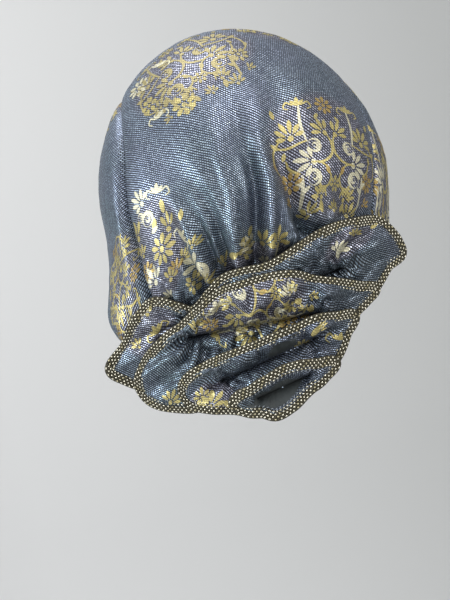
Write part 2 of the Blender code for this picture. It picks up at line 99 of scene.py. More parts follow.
# Folds of the crown panel. Places run along the gathers (0 left, 1 right), heights from the
# gathers to the seam (0 to 1). A row is one fold: place at the gathers, place at the upper end, how
# late it bends to that (1 straight), height where it is deepest, height of the upper end, depth in
# (negative) or out (positive), half width as a share of the panel
FOLDS = (
    (0.200, 0.040, 1.8, 0.00, 0.42, -2.5, 0.034),
    (0.260, 0.130, 1.2, 0.00, 0.48, -3.5, 0.030),
    (0.300, 0.180, 1.0, 0.05, 0.46, 2.5, 0.030),
    (0.355, 0.200, 0.6, 0.05, 0.48, -6.0, 0.030),
    (0.390, 0.265, 0.7, 0.05, 0.46, 3.5, 0.028),
    (0.405, 0.440, 1.0, 0.15, 0.58, 3.0, 0.030),
    (0.460, 0.480, 1.0, 0.20, 0.72, -6.0, 0.038),
    (0.510, 0.545, 1.0, 0.15, 0.60, 4.5, 0.032),
    (0.715, 0.550, 2.0, 0.05, 0.52, -9.0, 0.030),
    (0.610, 0.590, 1.0, 0.45, 0.78, -3.5, 0.050),
    (0.760, 0.600, 2.0, 0.05, 0.45, 3.5, 0.030),
    (0.750, 0.660, 1.5, 0.00, 0.28, -3.0, 0.026),
    (0.920, 0.760, 1.5, 0.00, 0.28, -3.0, 0.030),
    (0.260, 0.200, 1.0, 0.55, 0.85, -2.5, 0.045),
)

# Fullness of the face band over the ears: place along the band (0 left end, 1 right end), height
# (0 seam, 1 rim), half sizes of the bulge along and up, and its push across, ahead and up
EAR_BULGES = (
    (0.055, 0.66, 0.075, 0.26, -13, 1, -10),
    (0.945, 0.66, 0.075, 0.26, 3, -2, -6),
)

# The back of the head as the ruffles wrap it: depth behind the origin in the middle, and how the
# surface bends forward to both sides
WRAP_MIDDLE = -12.0
WRAP_DEPTH = 100.0
WRAP_BEND = 60.0
WRAP_WIDTH = 70.0

# A ruffle lies this far outside the cloth under it: where it is sewn on, and elsewhere. How softly
# it comes to rest on that cloth, and how steeply its form falls away past its edge
SEAT = RUFFLE_WALL + 0.9
CLEARANCE = 3.4
REST_BLEND = 2.0
EDGE_FALL = 1.1

# Each ruffle: name, middle of its gather line (across, rise), slope of that line in degrees, its
# half length, ripples round its edge and their depth, how late the cloth rises from the gathers
# (1 at once), and its edge table. An edge row is one section of the outer edge: across, rise, and
# how far it stands out from the gather line.
RUFFLES = (
    ("ruffle_1", (-12, -50), 8.0, 64, 13, 1.0, 0.7, (
        (102, -44, 15), (103, -36, 18), (98, -23, 21), (90, -13, 18), (74, -10, 22), (60, -9, 18),
        (46, -10, 22), (31, -14, 18), (13, -20, 21), (-4, -24, 18), (-22, -23, 21), (-36, -24, 19),
        (-48, -31, 21), (-65, -41, 18), (-77, -35, 21), (-90, -28, 17), (-107, -36, 21),
        (-123, -55, 16), (-140, -70, 18), (-131, -82, 12), (-112, -93, 5), (-70, -92, 4),
        (-20, -84, 4), (30, -78, 4), (70, -67, 8), (90, -49, 14),
    )),
    ("ruffle_2", (-22, -65), -4.0, 50, 11, 1.0, 0.5, (
        (75, -62, 15), (62, -57, 20), (47, -50, 25), (31, -43, 22), (16, -35, 26), (0, -32, 23),
        (-21, -32, 26), (-41, -33, 22), (-58, -41, 26), (-77, -51, 22), (-96, -61, 26),
        (-110, -71, 20), (-119, -83, 23), (-119, -97, 16), (-109, -107, 20), (-95, -113, 14),
        (-81, -116, 9), (-50, -108, 5), (0, -100, 5), (34, -90, 6), (55, -76, 11), (66, -69, 13),
    )),
    ("ruffle_3", (-19, -92), 10.0, 38, 9, 0.8, 0.7, (
        (53, -76, 15), (38, -73, 21), (23, -70, 25), (9, -72, 21), (-9, -74, 25), (-29, -77, 22),
        (-47, -79, 25), (-65, -83, 21), (-81, -89, 24), (-88, -97, 18), (-86, -109, 14),
        (-73, -117, 16), (-55, -123, 11), (-37, -129, 9), (-10, -124, 6), (12, -114, 7),
        (32, -104, 11), (44, -88, 14),
    )),
    ("ruffle_4", (-14, -113), 10.0, 21, 8, 0.6, 0.9, (
        (30, -105, 13), (16, -101, 18), (3, -98, 22), (-10, -98, 19), (-24, -102, 23),
        (-39, -107, 20), (-54, -114, 16), (-49, -123, 10), (-35, -129, 12), (-24, -134, 13),
        (-11, -131, 9), (6, -121, 12), (20, -114, 11),
    )),
)

# Sections of the flat crown panel, and the passes that even it out
CROWN_SECTIONS = (36, 20)
FLAT_PASSES = 400


def smoothstep(t):
    t = np.clip(t, 0.0, 1.0)
    return t * t * (3.0 - 2.0 * t)


def bump(t):
    """1 in the middle, falling smoothly to 0 at -1 and 1."""
    return np.square(np.clip(1.0 - t * t, 0.0, 1.0))


def smooth_max(a, b, blend):
    return 0.5 * (a + b + np.sqrt(np.square(a - b) + blend * blend))


def unit(v):
    return v / np.maximum(np.linalg.norm(v, axis=-1, keepdims=True), 1e-9)


def round_angles(count):
    """Equal steps once round, from half a turn back."""
    return -math.pi + 2.0 * math.pi * np.arange(count) / count


def along_loop(points):
    """Unit vectors along a closed row of points."""
    return unit(np.roll(points, -1, axis=0) - np.roll(points, 1, axis=0))


def lengths(steps):
    """Running length from 0 over a row of steps."""
    return np.concatenate([[0.0], np.cumsum(steps)])


def pair(flat):
    """Complex places as pairs of numbers."""
    return np.stack([flat.real, flat.imag], axis=-1)


def curve(knots, rows, t):
    """A smooth curve through the rows, one at each knot, read at t."""
    knots = np.asarray(knots, float)
    rows = np.asarray(rows, float)
    slopes = np.empty_like(rows)
    slopes[1:-1] = ((rows[2:] - rows[:-2]).T / (knots[2:] - knots[:-2])).T
    slopes[0] = (rows[1] - rows[0]) / (knots[1] - knots[0])
    slopes[-1] = (rows[-1] - rows[-2]) / (knots[-1] - knots[-2])
    t = np.asarray(t, float)
    i = np.clip(np.searchsorted(knots, t, side="right") - 1, 0, len(knots) - 2)
    step = knots[i + 1] - knots[i]
    s = (t - knots[i]) / step
    if rows.ndim == 2:
        s, step = s[..., None], step[..., None]
    return (
        rows[i] * (1 + 2 * s) * (1 - s) ** 2
        + slopes[i] * step * s * (1 - s) ** 2
        + rows[i + 1] * s * s * (3 - 2 * s)
        + slopes[i + 1] * step * s * s * (s - 1)
    )


def lean(rise):
    return -LEAN * smoothstep((LEAN_START_RISE - rise) / LEAN_RUN)


def envelope(direction):
    """Distance from the crown's centre to its smooth outer form along unit directions."""
    x, y, z = np.moveaxis(direction, -1, 0)
    level = x * x + y * y
    sideways = x * x / np.maximum(level, 1e-9)
    length = np.where(y < 0, CROWN_BACK, CROWN_FRONT)
    drop = NAPE_DROP + (SIDE_DROP - NAPE_DROP) * sideways ** 1.5
    height = np.where(z > 0, CROWN_HEIGHT, drop)
    power = np.where(z > 0, TOP_ROUNDNESS, LOW_ROUNDNESS)
    flat = np.hypot(x / CROWN_HALF_WIDTH, y / length)
    return (flat ** power + (np.abs(z) / height) ** power) ** (-1.0 / power)


def placed(direction, radius):
    """Points of the crown at this distance along these directions, with its lean."""
    point = CROWN_CENTRE + direction * radius[..., None]
    point[..., 0] += lean(point[..., 2])
    return point


def direction_of(point):
    """The direction from the crown's centre that leads to a point, without the lean."""
    point = np.array(point, float)
    point[..., 0] -= lean(point[..., 2])
    return unit(point - CROWN_CENTRE)


def to_map(direction):
    """Directions laid flat: the distance from the map's middle is the angle from its axis."""
    angle = np.arccos(np.clip(direction @ MAP_AXIS, -1.0, 1.0))
    flat = np.stack([direction @ MAP_ACROSS, direction @ MAP_UP], axis=-1)
    return unit(flat) * angle[..., None]


def from_map(flat):
    angle = np.linalg.norm(flat, axis=-1, keepdims=True)
    aside = flat[..., :1] * MAP_ACROSS + flat[..., 1:] * MAP_UP
    return MAP_AXIS * np.cos(angle) + aside * np.sinc(angle / np.pi)


def back_of_crown(across, rise):
    """Depth of the crown's smooth form behind the origin, over places seen from behind."""
    x = across - lean(rise) - CROWN_CENTRE[0]
    z = rise - CROWN_CENTRE[2]
    y = np.full(np.broadcast(x, z).shape, -CROWN_BACK)
    for _ in range(12):
        direction = unit(np.stack(np.broadcast_arrays(x, y, z), axis=-1))
        y = 0.5 * (y - np.sqrt(np.maximum(envelope(direction) ** 2 - x * x - z * z, 1.0)))
    return -(y + CROWN_CENTRE[1])


def gather_point(share):
    """The gather line in space, at a share of its width from the left."""
    across = GATHER[0][0] + (GATHER[-1][0] - GATHER[0][0]) * share
    rise = curve([row[0] for row in GATHER], [row[1] for row in GATHER], across)
    depth = back_of_crown(across, rise) - GATHER_DIP
    return np.stack([across, -depth, rise], axis=-1)


SEAM_ENDS = gather_point(np.array((0.0, 1.0)))
SEAM_FLAT = to_map(direction_of(np.concatenate([SEAM_ENDS[:1], SEAM, SEAM_ENDS[1:]])))
SEAM_STEPS = np.linalg.norm(np.diff(SEAM_FLAT, axis=0), axis=1)
SEAM_KNOTS = lengths(SEAM_STEPS) / SEAM_STEPS.sum()
LEFT_CORNER = SEAM_KNOTS[SEAM_LEFT_CORNER]
RIGHT_CORNER = SEAM_KNOTS[SEAM_RIGHT_CORNER]


def seam(share):
    """The seam on the flat map, at a share of its length from its left end."""
    return curve(SEAM_KNOTS, SEAM_FLAT, share)


def seam_shares(u, v):
    """Shares of the seam's length at the top, the left and the right edge of the crown panel."""
    top = LEFT_CORNER + (RIGHT_CORNER - LEFT_CORNER) * u
    return top, LEFT_CORNER * v, 1.0 - (1.0 - RIGHT_CORNER) * v


def seam_dip(share, distance):
    """How far the cloth dips at a distance from the seam."""
    places, dips = np.transpose(SEAM_DIPS)
    return np.interp(share, places, dips) * np.exp(-((distance / SEAM_DIP_WIDTH) ** 2))


def opening_point(angle):
    """The edge of the head opening, at an angle round it from the nape, positive to the right."""
    rise = -OPENING_RISE * np.cos(angle) - OPENING_EAR_SAG * np.sin(angle) ** 2
    across = OPENING_HALF_WIDTH * np.sin(angle)
    return np.stack([across, -OPENING_HALF_LENGTH * np.cos(angle), rise], axis=-1)


def fold_lines(v, folds):
    """Of each fold at these heights: where its middle is, its depth and its half width."""
    for low, high, bend, deepest, end, push, half_width in folds:
        middle = high + (low - high) * np.clip(1.0 - v / end, 0.0, 1.0) ** bend
        yield middle, push * bump((v - deepest) / (end - deepest)), half_width


def fold_depth(u, v, folds):
    """How far the folds of a table push the crown panel in or out."""
    depth = np.zeros(np.broadcast(u, v).shape)
    for middle, push, half_width in fold_lines(v, folds):
        depth += push * bump((u - middle) / (2.2 * half_width))
    return depth * (SEWN_FOLD_SHARE + (1.0 - SEWN_FOLD_SHARE) * smoothstep(v / FOLD_FREE_GATHER))


def flat_panel():
    """The crown panel laid flat: a grid of points between its four edges, evened out."""
    across, up = (np.linspace(0.0, 1.0, count + 1) for count in CROWN_SECTIONS)
    high, left, right = (seam(share) for share in seam_shares(across, up))
    grid = left[:, None] + (right - left)[:, None] * across[None, :, None]
    grid[0] = to_map(direction_of(gather_point(across)))
    grid[-1] = high
    for _ in range(FLAT_PASSES):
        beside = grid[1:-1, :-2] + grid[1:-1, 2:] + grid[:-2, 1:-1] + grid[2:, 1:-1]
        grid[1:-1, 1:-1] = 0.25 * beside
    return grid


FLAT_PANEL = flat_panel()


def spline_weights(s):
    """Weights of four neighbours for a smooth curve between the middle two."""
    return 0.5 * np.stack([
        -s + 2 * s * s - s ** 3,
        2 - 5 * s * s + 3 * s ** 3,
        s + 4 * s * s - 3 * s ** 3,
        s ** 3 - s * s,
    ])


def on_flat_panel(u, v):
    """The place on the flat map of a place on the crown panel."""
    rows, columns = FLAT_PANEL.shape[0] - 1, FLAT_PANEL.shape[1] - 1
    padded = np.pad(FLAT_PANEL, ((1, 1), (1, 1), (0, 0)), mode="reflect", reflect_type="odd")
    i = np.clip(np.floor(u * columns).astype(int), 0, columns - 1)
    j = np.clip(np.floor(v * rows).astype(int), 0, rows - 1)
    sideways = spline_weights(u * columns - i)
    upward = spline_weights(v * rows - j)
    return sum(
        (upward[n] * sideways[m])[..., None] * padded[j + n, i + m]
        for n in range(4) for m in range(4)
    )


def crown_surface(u, v):
    """The crown panel: u runs along the gathers from left to right, v from them up to the seam."""
    flat = on_flat_panel(u, v)
    direction = from_map(flat * (1.0 - SEWN_GAP / CROWN_BACK))
    radius = envelope(direction)
    shares = seam_shares(u, v)
    distances = [radius * np.linalg.norm(flat - seam(share), axis=-1) for share in shares]
    dips = [seam_dip(share, distance) for share, distance in zip(shares, distances)]
    low = to_map(direction_of(gather_point(u)))
    from_gather = radius * np.linalg.norm(flat - low, axis=-1)
    from_seam = np.minimum.reduce(distances)
    radius = radius - np.maximum.reduce(dips)
    radius = radius - GATHER_DIP * np.exp(-((from_gather / GATHER_DIP_WIDTH) ** 2))
    radius = radius + fold_depth(u, v, FOLDS) * smoothstep(from_seam / FOLD_FREE_SEAM)
    return placed(direction, radius)


def band_surface(u, v):
    """The face band: u runs from its left end over the forehead to its right end, v from the seam
    to the edge of the head opening, round which the cloth turns in."""
    start = from_map(seam(u))
    angle = -NAPE_HALF_ANGLE - (2.0 * math.pi - 2.0 * NAPE_HALF_ANGLE) * u
    edge = opening_point(angle)
    end = unit(edge - CROWN_CENTRE)
    turn = np.arccos(np.clip((start * end).sum(axis=-1), -1.0, 1.0))
    near = np.sin((1.0 - v) * turn) / np.sin(turn)
    far = np.sin(v * turn) / np.sin(turn)
    direction = unit(start * near[..., None] + end * far[..., None])
    radius = envelope(direction)
    radius = radius - seam_dip(u, radius * turn * v)
    point = placed(direction, radius)
    tuck = np.clip((v - 1.0 + RIM_TURN) / RIM_TURN, 0.0, 1.0)
    inward = 1.0 - np.sqrt(np.clip(1.0 - tuck ** 2.4, 0.0, 1.0))
    point = point + (edge - point) * inward[..., None]
    for place, height, along, up, across, ahead, rise in EAR_BULGES:
        weight = bump((u - place) / (1.6 * along)) * bump((v - height) / (1.6 * up))
        point = point + weight[..., None] * np.array((across, ahead, rise))
    return point


def nape_edge(u):
    """The nape's part of the head opening, from left to right."""
    return opening_point(np.arcsin(math.sin(NAPE_HALF_ANGLE) * (2.0 * u - 1.0)))


def nape_surface(u, v):
    """The nape band: u from left to right, v from the gathers down to the head opening."""
    top = gather_point(u)
    point = top + (nape_edge(u) - top) * v[..., None]
    point[..., 1] -= NAPE_FULLNESS * np.sin(math.pi * v)
    return point


def back_of_nape(across, rise):
    """Depth of the nape band behind the origin, over places seen from behind."""
    left = GATHER[0][0], nape_edge(np.array(0.0))[0]
    width = GATHER[-1][0] - GATHER[0][0], 2.0 * OPENING_HALF_WIDTH * math.sin(NAPE_HALF_ANGLE)
    v = np.full(np.broadcast(across, rise).shape, 0.5)
    for _ in range(6):
        start = left[0] + (left[1] - left[0]) * v
        u = np.clip((across - start) / (width[0] + (width[1] - width[0]) * v), 0.0, 1.0)
        top, edge = gather_point(u), nape_edge(u)
        v = np.clip((top[..., 2] - rise) / (top[..., 2] - edge[..., 2]), 0.0, 1.0)
    return NAPE_FULLNESS - (top[..., 1] + (edge[..., 1] - top[..., 1]) * v)


def back_of_head(across):
    """Depth of the form that the ruffles bend round."""
    aside = (across - WRAP_MIDDLE) / WRAP_WIDTH
    return WRAP_DEPTH - WRAP_BEND * (np.sqrt(1.0 + aside * aside) - 1.0)


class Ruffle:
    """A leaf of cloth gathered along a line in its middle. A place on it is an angle round the
    gather line and a reach, 0 on that line and 1 at the outer edge of the trim."""

    def __init__(self, row, under):
        self.name, middle, slope, self.half = row[:4]
        self.ripples, self.ripple_depth, self.lateness, edge = row[4:]
        self.under = under
        self.middle = complex(*middle)
        self.slope = np.exp(1j * math.radians(slope))
        edge = np.array(edge, float)
        place = self.flat_place(edge[:, 0], edge[:, 1])
        order = np.argsort(place.imag)
        angle = place.imag[order]
        values = np.stack([place.real[order], edge[order, 2]], axis=-1)
        turn = 2.0 * math.pi
        self.angles = np.concatenate([angle[-3:] - turn, angle, angle[:3] + turn])
        self.values = np.concatenate([values[-3:], values, values[:3]])
        self.spine_angles = np.linspace(0.0, math.pi, 33)
        at = self.flat_point(self.spine_angles, 0.0 * self.spine_angles)
        self.spine_depths = under(at.real, at.imag) + SEAT

    def flat_place(self, across, rise):
        """Elliptic place round the gather line: how far out it is, and 1j times its angle."""
        flat = (across + 1j * rise - self.middle) / self.slope / self.half
        return np.arccosh(flat + 1e-9j)

    def flat_point(self, angle, out):
        return np.cosh(out + 1j * angle) * self.half * self.slope + self.middle

    def edge(self, angle):
        """How far out the edge lies at an angle, and how far it stands out."""
        return np.moveaxis(curve(self.angles, self.values, angle), -1, 0)

    def reach_inside(self, angle, distance):
        """The reach at a distance inside the edge."""
        out, _ = self.edge(angle)
        inner = out
        for _ in range(3):
            spread = self.half * np.abs(np.sinh(0.5 * (out + inner) + 1j * angle))
            inner = out - distance / spread
        return inner / out

    def edge_frame(self, angle):
        """Middle line of the trim on the outer face, with the ways outward and off the cloth."""
        edge = self.points(angle, self.reach_inside(angle, 0.0))
        inner = self.points(angle, self.reach_inside(angle, TRIM_WIDTH))
        outward = unit(edge - inner)
        outward = unit(np.roll(outward, 1, axis=0) + outward + np.roll(outward, -1, axis=0))
        middle = edge - outward * 0.5 * TRIM_WIDTH
        along = along_loop(middle)
        normal = unit(np.cross(along, outward))
        normal = normal * np.where(normal[:, 1] > 0.0, -1.0, 1.0)[:, None]
        return middle, outward, normal

    def back(self, across, rise):
        """Depth of the ruffle's outer face behind the origin, falling away past its edge."""
        place = self.flat_place(across, rise)
        out, stand = self.edge(place.imag)
        reach = place.real / out
        within = np.clip(reach, 0.0, 1.0)
        foot = self.flat_point(place.imag, 0.0 * out)
        rim = self.flat_point(place.imag, np.minimum(place.real, out))
        depth = np.interp(np.abs(place.imag), self.spine_angles, self.spine_depths)
        depth = depth + back_of_head(rim.real) - back_of_head(foot.real)
        depth = depth + stand * np.sin(0.5 * math.pi * within) ** self.lateness
        depth = depth + self.ripple_depth * within ** 2 * np.cos(self.ripples * place.imag)
        beyond = np.abs(across + 1j * rise - rim) * (reach > 1.0)
        rest = self.under(across, rise) + SEAT + (CLEARANCE - SEAT) * smoothstep(within * 3.0)
        return smooth_max(depth - EDGE_FALL * beyond, rest, REST_BLEND * within)

    def points(self, angle, reach):
        out, _ = self.edge(angle)
        flat = self.flat_point(angle, out * reach)
        return np.stack([flat.real, -self.back(flat.real, flat.imag), flat.imag], axis=-1)


def shell_back(across, rise):
    """Depth of the crown and the nape band together."""
    return np.maximum(back_of_crown(across, rise), back_of_nape(across, rise))


def build_ruffles():
    """Each ruffle lies on the one before it, and the first on the crown and the nape band."""
    under = shell_back
    ruffles = []
    for row in RUFFLES:
        ruffle = Ruffle(row, under)
        ruffles.append(ruffle)
        under = ruffle.back
    return ruffles


# Wall of the cloth in the looks
CLOTH = 1.0

# Grids of the looks: sections across and up
CROWN_GRID = (270, 178)
BAND_GRID = (360, 56)
NAPE_GRID = (110, 26)
RUFFLE_GRIDS = ((520, 38), (440, 36), (340, 32), (260, 26))

# Finer folds of the crown panel near the gathers, as the rows of FOLDS
FINE_FOLDS = (
    (0.330, 0.180, 0.6, 0.02, 0.42, -6.4, 0.013),
    (0.348, 0.215, 0.6, 0.02, 0.42, 5.2, 0.013),
    (0.430, 0.415, 1.0, 0.12, 0.46, -3.1, 0.015),
    (0.475, 0.480, 1.0, 0.10, 0.42, -4.1, 0.015),
    (0.505, 0.515, 1.0, 0.10, 0.45, 4.1, 0.014),
    (0.560, 0.535, 1.0, 0.04, 0.30, -3.4, 0.013),
    (0.600, 0.560, 1.2, 0.04, 0.30, 3.4, 0.014),
    (0.690, 0.545, 2.0, 0.10, 0.44, -5.1, 0.015),
    (0.735, 0.590, 2.0, 0.05, 0.36, 4.1, 0.015),
    (0.120, 0.040, 1.5, 0.00, 0.30, -2.7, 0.015),
    (0.165, 0.080, 1.5, 0.00, 0.30, 2.7, 0.015),
    (0.235, 0.160, 1.2, 0.00, 0.26, 3.1, 0.015),
    (0.800, 0.740, 1.5, 0.00, 0.22, 3.1, 0.015),
    (0.860, 0.800, 1.5, 0.00, 0.22, -3.1, 0.015),
    (0.372, 0.250, 0.6, 0.04, 0.44, -5.6, 0.013),
    (0.300, 0.158, 0.7, 0.04, 0.42, 4.6, 0.015),
    (0.262, 0.125, 0.9, 0.00, 0.42, -5.2, 0.013),
    (0.465, 0.482, 1.0, 0.15, 0.58, -3.0, 0.014),
    (0.415, 0.385, 1.0, 0.10, 0.55, 3.0, 0.018),
    (0.520, 0.520, 1.0, 0.08, 0.50, 3.0, 0.016),
    (0.560, 0.540, 1.0, 0.06, 0.42, -2.8, 0.013),
    (0.712, 0.552, 2.0, 0.06, 0.50, -5.0, 0.014),
    (0.640, 0.565, 1.6, 0.06, 0.44, 2.8, 0.018),
)

# Pleats of the crown panel at its gathers: how many across, their height and how far up they reach
PLEATS = (
    (41.0, 2.4, 0.06), (23.0, 2.6, 0.12), (9.5, 1.5, 0.22),
)

# The groove along the seam, deeper than the solids' dip: share of the seam, extra depth
GROOVES = (
    (0.0, 8.0), (0.30, 9.5), (0.42, 3.6), (0.70, 4.2), (1.0, 5.0),
)
GROOVE_WIDTH = 3.4

# How much deeper the folds are than in the solids, as a share of their depth there
FOLD_EXTRA = 0.35

# How far the rows of the weave sink in a fold, for each millimetre of its depth
ROW_DROOP = 0.9

# Camera behind the object: place in metres, roll to the tilt of the photograph, lens
CAMERA_PLACE = (-0.0381, -1.2, -0.0416)
CAMERA_ROLL = math.radians(15.0)
CAMERA_LENS = 90.0

# Name of the flat places of the cloth on every mesh
WEAVE = "weave"


def rough(point, size, seed):
    """Smooth noise from -1 to 1 at points in millimetres, with features of a given size."""
    flat = np.reshape(point, (-1, 3)) / size + seed
    values = np.array([noise.noise(Vector(row)) for row in flat.tolist()])
    return values.reshape(np.shape(point)[:-1])


def mesh_object(name, points, faces, uv, materials, kinds=None):
    """A mesh from points in millimetres, with the weave's coordinates at its points."""
    mesh = bpy.data.meshes.new(name)
    mesh.from_pydata((np.asarray(points) * MM).tolist(), [], np.asarray(faces).tolist())
    for material in materials:
        mesh.materials.append(material)
    corners = np.empty(len(mesh.loops), dtype=np.int32)
    mesh.loops.foreach_get("vertex_index", corners)
    if uv is not None:
        layer = mesh.uv_layers.new(name=WEAVE)
        layer.data.foreach_set("uv", np.asarray(uv, np.float32)[corners].reshape(-1))
    if kinds is not None:
        mesh.polygons.foreach_set("material_index", np.asarray(kinds, np.int32))
    mesh.shade_smooth()
    mesh.update()
    piece = bpy.data.objects.new(name, mesh)
    bpy.context.scene.collection.objects.link(piece)
    return piece


def grid_faces(columns, rows, flip, closed=False):
    """Quads of a grid of points stored row by row."""
    across = columns if closed else columns - 1
    i, j = np.meshgrid(np.arange(across), np.arange(rows - 1))
    i, j = i.ravel(), j.ravel()
    k = (i + 1) % columns
    low, high = j * columns, (j + 1) * columns
    faces = np.stack([low + i, low + k, high + k, high + i], 1)
    return faces[:, ::-1] if flip else faces


def add_wall(piece, wall, wrong_side=1):
    """Gives a sheet its wall, inwards, with another of its materials on the inside."""
    modifier = piece.modifiers.new("wall", "SOLIDIFY")
    modifier.thickness = wall * MM
    modifier.offset = -1.0
    modifier.material_offset = modifier.material_offset_rim = wrong_side


def running_length(points, axis):
    """Length along one axis of a grid of points, from its start."""
    step = np.linalg.norm(np.diff(points, axis=axis), axis=-1)
    start = np.zeros_like(np.take(step, [0], axis=axis))
    return np.concatenate([start, np.cumsum(step, axis=axis)], axis=axis)


def bell(x, middle, width):
    """1 at the middle, falling off to both sides over the width."""
    return np.exp(-np.square((x - middle) / width))


def groove(share, distance):
    """How deep the groove is at a share of the seam, at a distance from it."""
    places, depths = np.transpose(GROOVES)
    return np.interp(share, places, depths) * bell(distance, 0.0, GROOVE_WIDTH)


def pushed(points, push):
    """Points moved out from the crown's centre."""
    return points + unit(points - CROWN_CENTRE) * push[..., None]


def uneven(points, rows):
    """Unevenness of a cloth, the sum of some noises: height, size, seed."""
    return sum(height * rough(points, size, seed) for height, size, seed in rows)


def creases(points, size, seed):
    """Sharp valleys between rounded ridges, from 0 to 1."""
    return np.minimum(np.abs(rough(points, size, seed)) * 2.2, 1.0)


def row_droop(u, v):
    """How far the rows rise on the folds of the crown, with a sharp turn along each fold."""
    rise = np.zeros_like(u)
    for middle, push, half_width in fold_lines(v, FOLDS):
        aside = np.sqrt(np.square((u - middle) / (2.6 * half_width)) + 0.004)
        rise += push * np.maximum(1.0 - aside, 0.0)
    return rise


# The crown's rows draw closer to the gathers: their even and their squared share of the height
CROWN_ROWS = (0.55, 0.45)

# How far from the seam the crown's pleats and folds grow to their height
SEAM_FREE = 12.0

# Height of the creases over the gathers
CREASE = 2.6

# Ridge and hollow beside the right part of the seam: height, distance from it, width, and the
# height on the panel to which they run
RIGHT_RIDGES = ((1.2, 5.0, 1.5), (-1.2, 8.0, 1.4))
RIDGES_END = 0.97

# Unevenness of the cloths: height, size, seed
CROWN_ROUGH = ((0.55, 26.0, 3.0), (0.22, 9.0, 8.0))
NAPE_ROUGH = ((0.3, 14.0, 4.0),)


def crown_grid():
    """Points of the crown panel with its pleats and finer folds."""
    across = np.linspace(0.0, 1.0, CROWN_GRID[0] + 1)
    up = np.linspace(0.0, 1.0, CROWN_GRID[1] + 1)
    u, v = np.meshgrid(across, CROWN_ROWS[0] * up + CROWN_ROWS[1] * up * up)
    points = crown_surface(u, v)
    along, upward = running_length(points, 1), running_length(points, 0)
    to_right, to_top = along[:, -1:] - along, upward[-1:] - upward
    push = np.zeros_like(u)
    for count, height, reach in PLEATS:
        phase = math.pi * count * u + 1.6 * np.sin(7.0 * u + count)
        phase += 3.0 * v * np.cos(5.0 * u + count)
        strength = 0.6 + 0.4 * np.sin(11.0 * u + 2.0 * count)
        push += height * strength * (np.abs(np.sin(phase)) - 0.5) * bell(v, 0.0, reach)
    push = push * smoothstep(v / 0.015) + fold_depth(u, v, FINE_FOLDS)
    push += FOLD_EXTRA * fold_depth(u, v, FOLDS)
    push += CREASE * (creases(points * (1.0, 1.0, 0.6), 13.0, 31.0) - 0.5) * bell(v, 0.0, 0.20)
    push += CREASE * (creases(points, 8.5, 12.0) - 0.5) * bell(v, 0.0, 0.12) * smoothstep(v / 0.01)
    push *= smoothstep(np.minimum.reduce([along, to_right, to_top]) / SEAM_FREE)
    push -= np.maximum.reduce(list(map(groove, seam_shares(u, v), (to_top, along, to_right))))
    for height, distance, width in RIGHT_RIDGES:
        push += height * bell(to_right, distance, width) * (v < RIDGES_END)
    push += uneven(points, CROWN_ROUGH)
    uv = on_flat_panel(u, v) * CROWN_BACK
    uv[..., 1] -= ROW_DROOP * row_droop(u, v)
    return pushed(points, push), uv


# Where the band is uneven over the ears: places along it, and how far that reaches
BAND_SIDES = (0.06, 0.94)
BAND_SIDE_REACH = 0.07

# Left part of the band, where the groove is wider and has a hollow beside it. The rest has a ridge:
# height, distance from the seam, width
BAND_LEFT = 0.40
LEFT_WIDER = 0.7
LEFT_HOLLOW = (0.7, 11.5, 1.5)
BAND_RIDGE = (0.9, 4.5, 1.5)


def band_grid():
    """Points of the face band, uneven over the ears, with the groove beside the seam."""
    across = np.linspace(0.003, 0.997, BAND_GRID[0] + 1)
    up = np.linspace(0.004, 1.0, BAND_GRID[1] + 1)
    u, v = np.meshgrid(across, up)
    points = band_surface(u, v)
    upward = running_length(points, 0)
    side = sum(bell(u, place, BAND_SIDE_REACH) for place in BAND_SIDES)
    push = (0.5 + 1.4 * side) * rough(points, 22.0, 5.0) + 0.25 * rough(points, 8.0, 2.0)
    push += 0.9 * side * np.cos(upward / 4.2 + 6.0 * u) * bump((v - 0.6) / 0.5)
    push *= smoothstep((1.0 - v) / 0.2)
    left = smoothstep((BAND_LEFT - u) / 0.10)
    push -= groove(u, upward / (1.0 + LEFT_WIDER * left))
    push -= LEFT_HOLLOW[0] * left * bell(upward, *LEFT_HOLLOW[1:])
    push += BAND_RIDGE[0] * (1.0 - left) * bell(upward, *BAND_RIDGE[1:])
    points = pushed(points, push)
    middle = running_length(points, 1)[BAND_GRID[1] // 2]
    return points, np.stack([np.broadcast_to(middle, u.shape), -upward], axis=-1)


# How far the nape band reaches behind the face band and the crown, as shares of its own size
NAPE_ALLOWANCE = 0.032
GATHER_ALLOWANCE = 0.23


def nape_grid():
    """Points of the nape band, with its seam allowances."""
    across = np.linspace(-NAPE_ALLOWANCE, 1.0 + NAPE_ALLOWANCE, NAPE_GRID[0] + 1)
    up = np.linspace(-GATHER_ALLOWANCE, 1.0, NAPE_GRID[1] + 1)
    points = nape_surface(*np.meshgrid(across, up))
    points[..., 1] += uneven(points, NAPE_ROUGH)
    return points, np.stack([running_length(points, 1), -running_length(points, 0)], axis=-1)


# Crumples of each ruffle: height of the pleats at its gathers, how far out they reach, height of
# the creases, and how much its upper side has against its lower side
CRUMPLES = (
    (4.4, 22.0, 5.4, 0.6), (5.0, 24.0, 6.6, 0.8), (4.2, 18.0, 5.4, 0.8), (2.2, 9.0, 1.6, 0.9),
)


# Pleats of a ruffle for each millimetre of its half length, how far they wander, and how much
# closer its rings lie to the gathers
PLEATS_PER_MM = 0.17
PLEAT_WANDER = 2.4
RING_CLOSER = 1.15

# How far the folded lip of a ruffle waves up and down, and the size of the waves and of the long
# creases round the gather line and out from it
LIP_WAVE = 6.0
LIP_SIZES = (10.0, 22.0)
CREASE_SIZES = (13.0, 34.0)

# How far the cloth of a ruffle reaches under its trim
UNDER_TRIM = 1.5


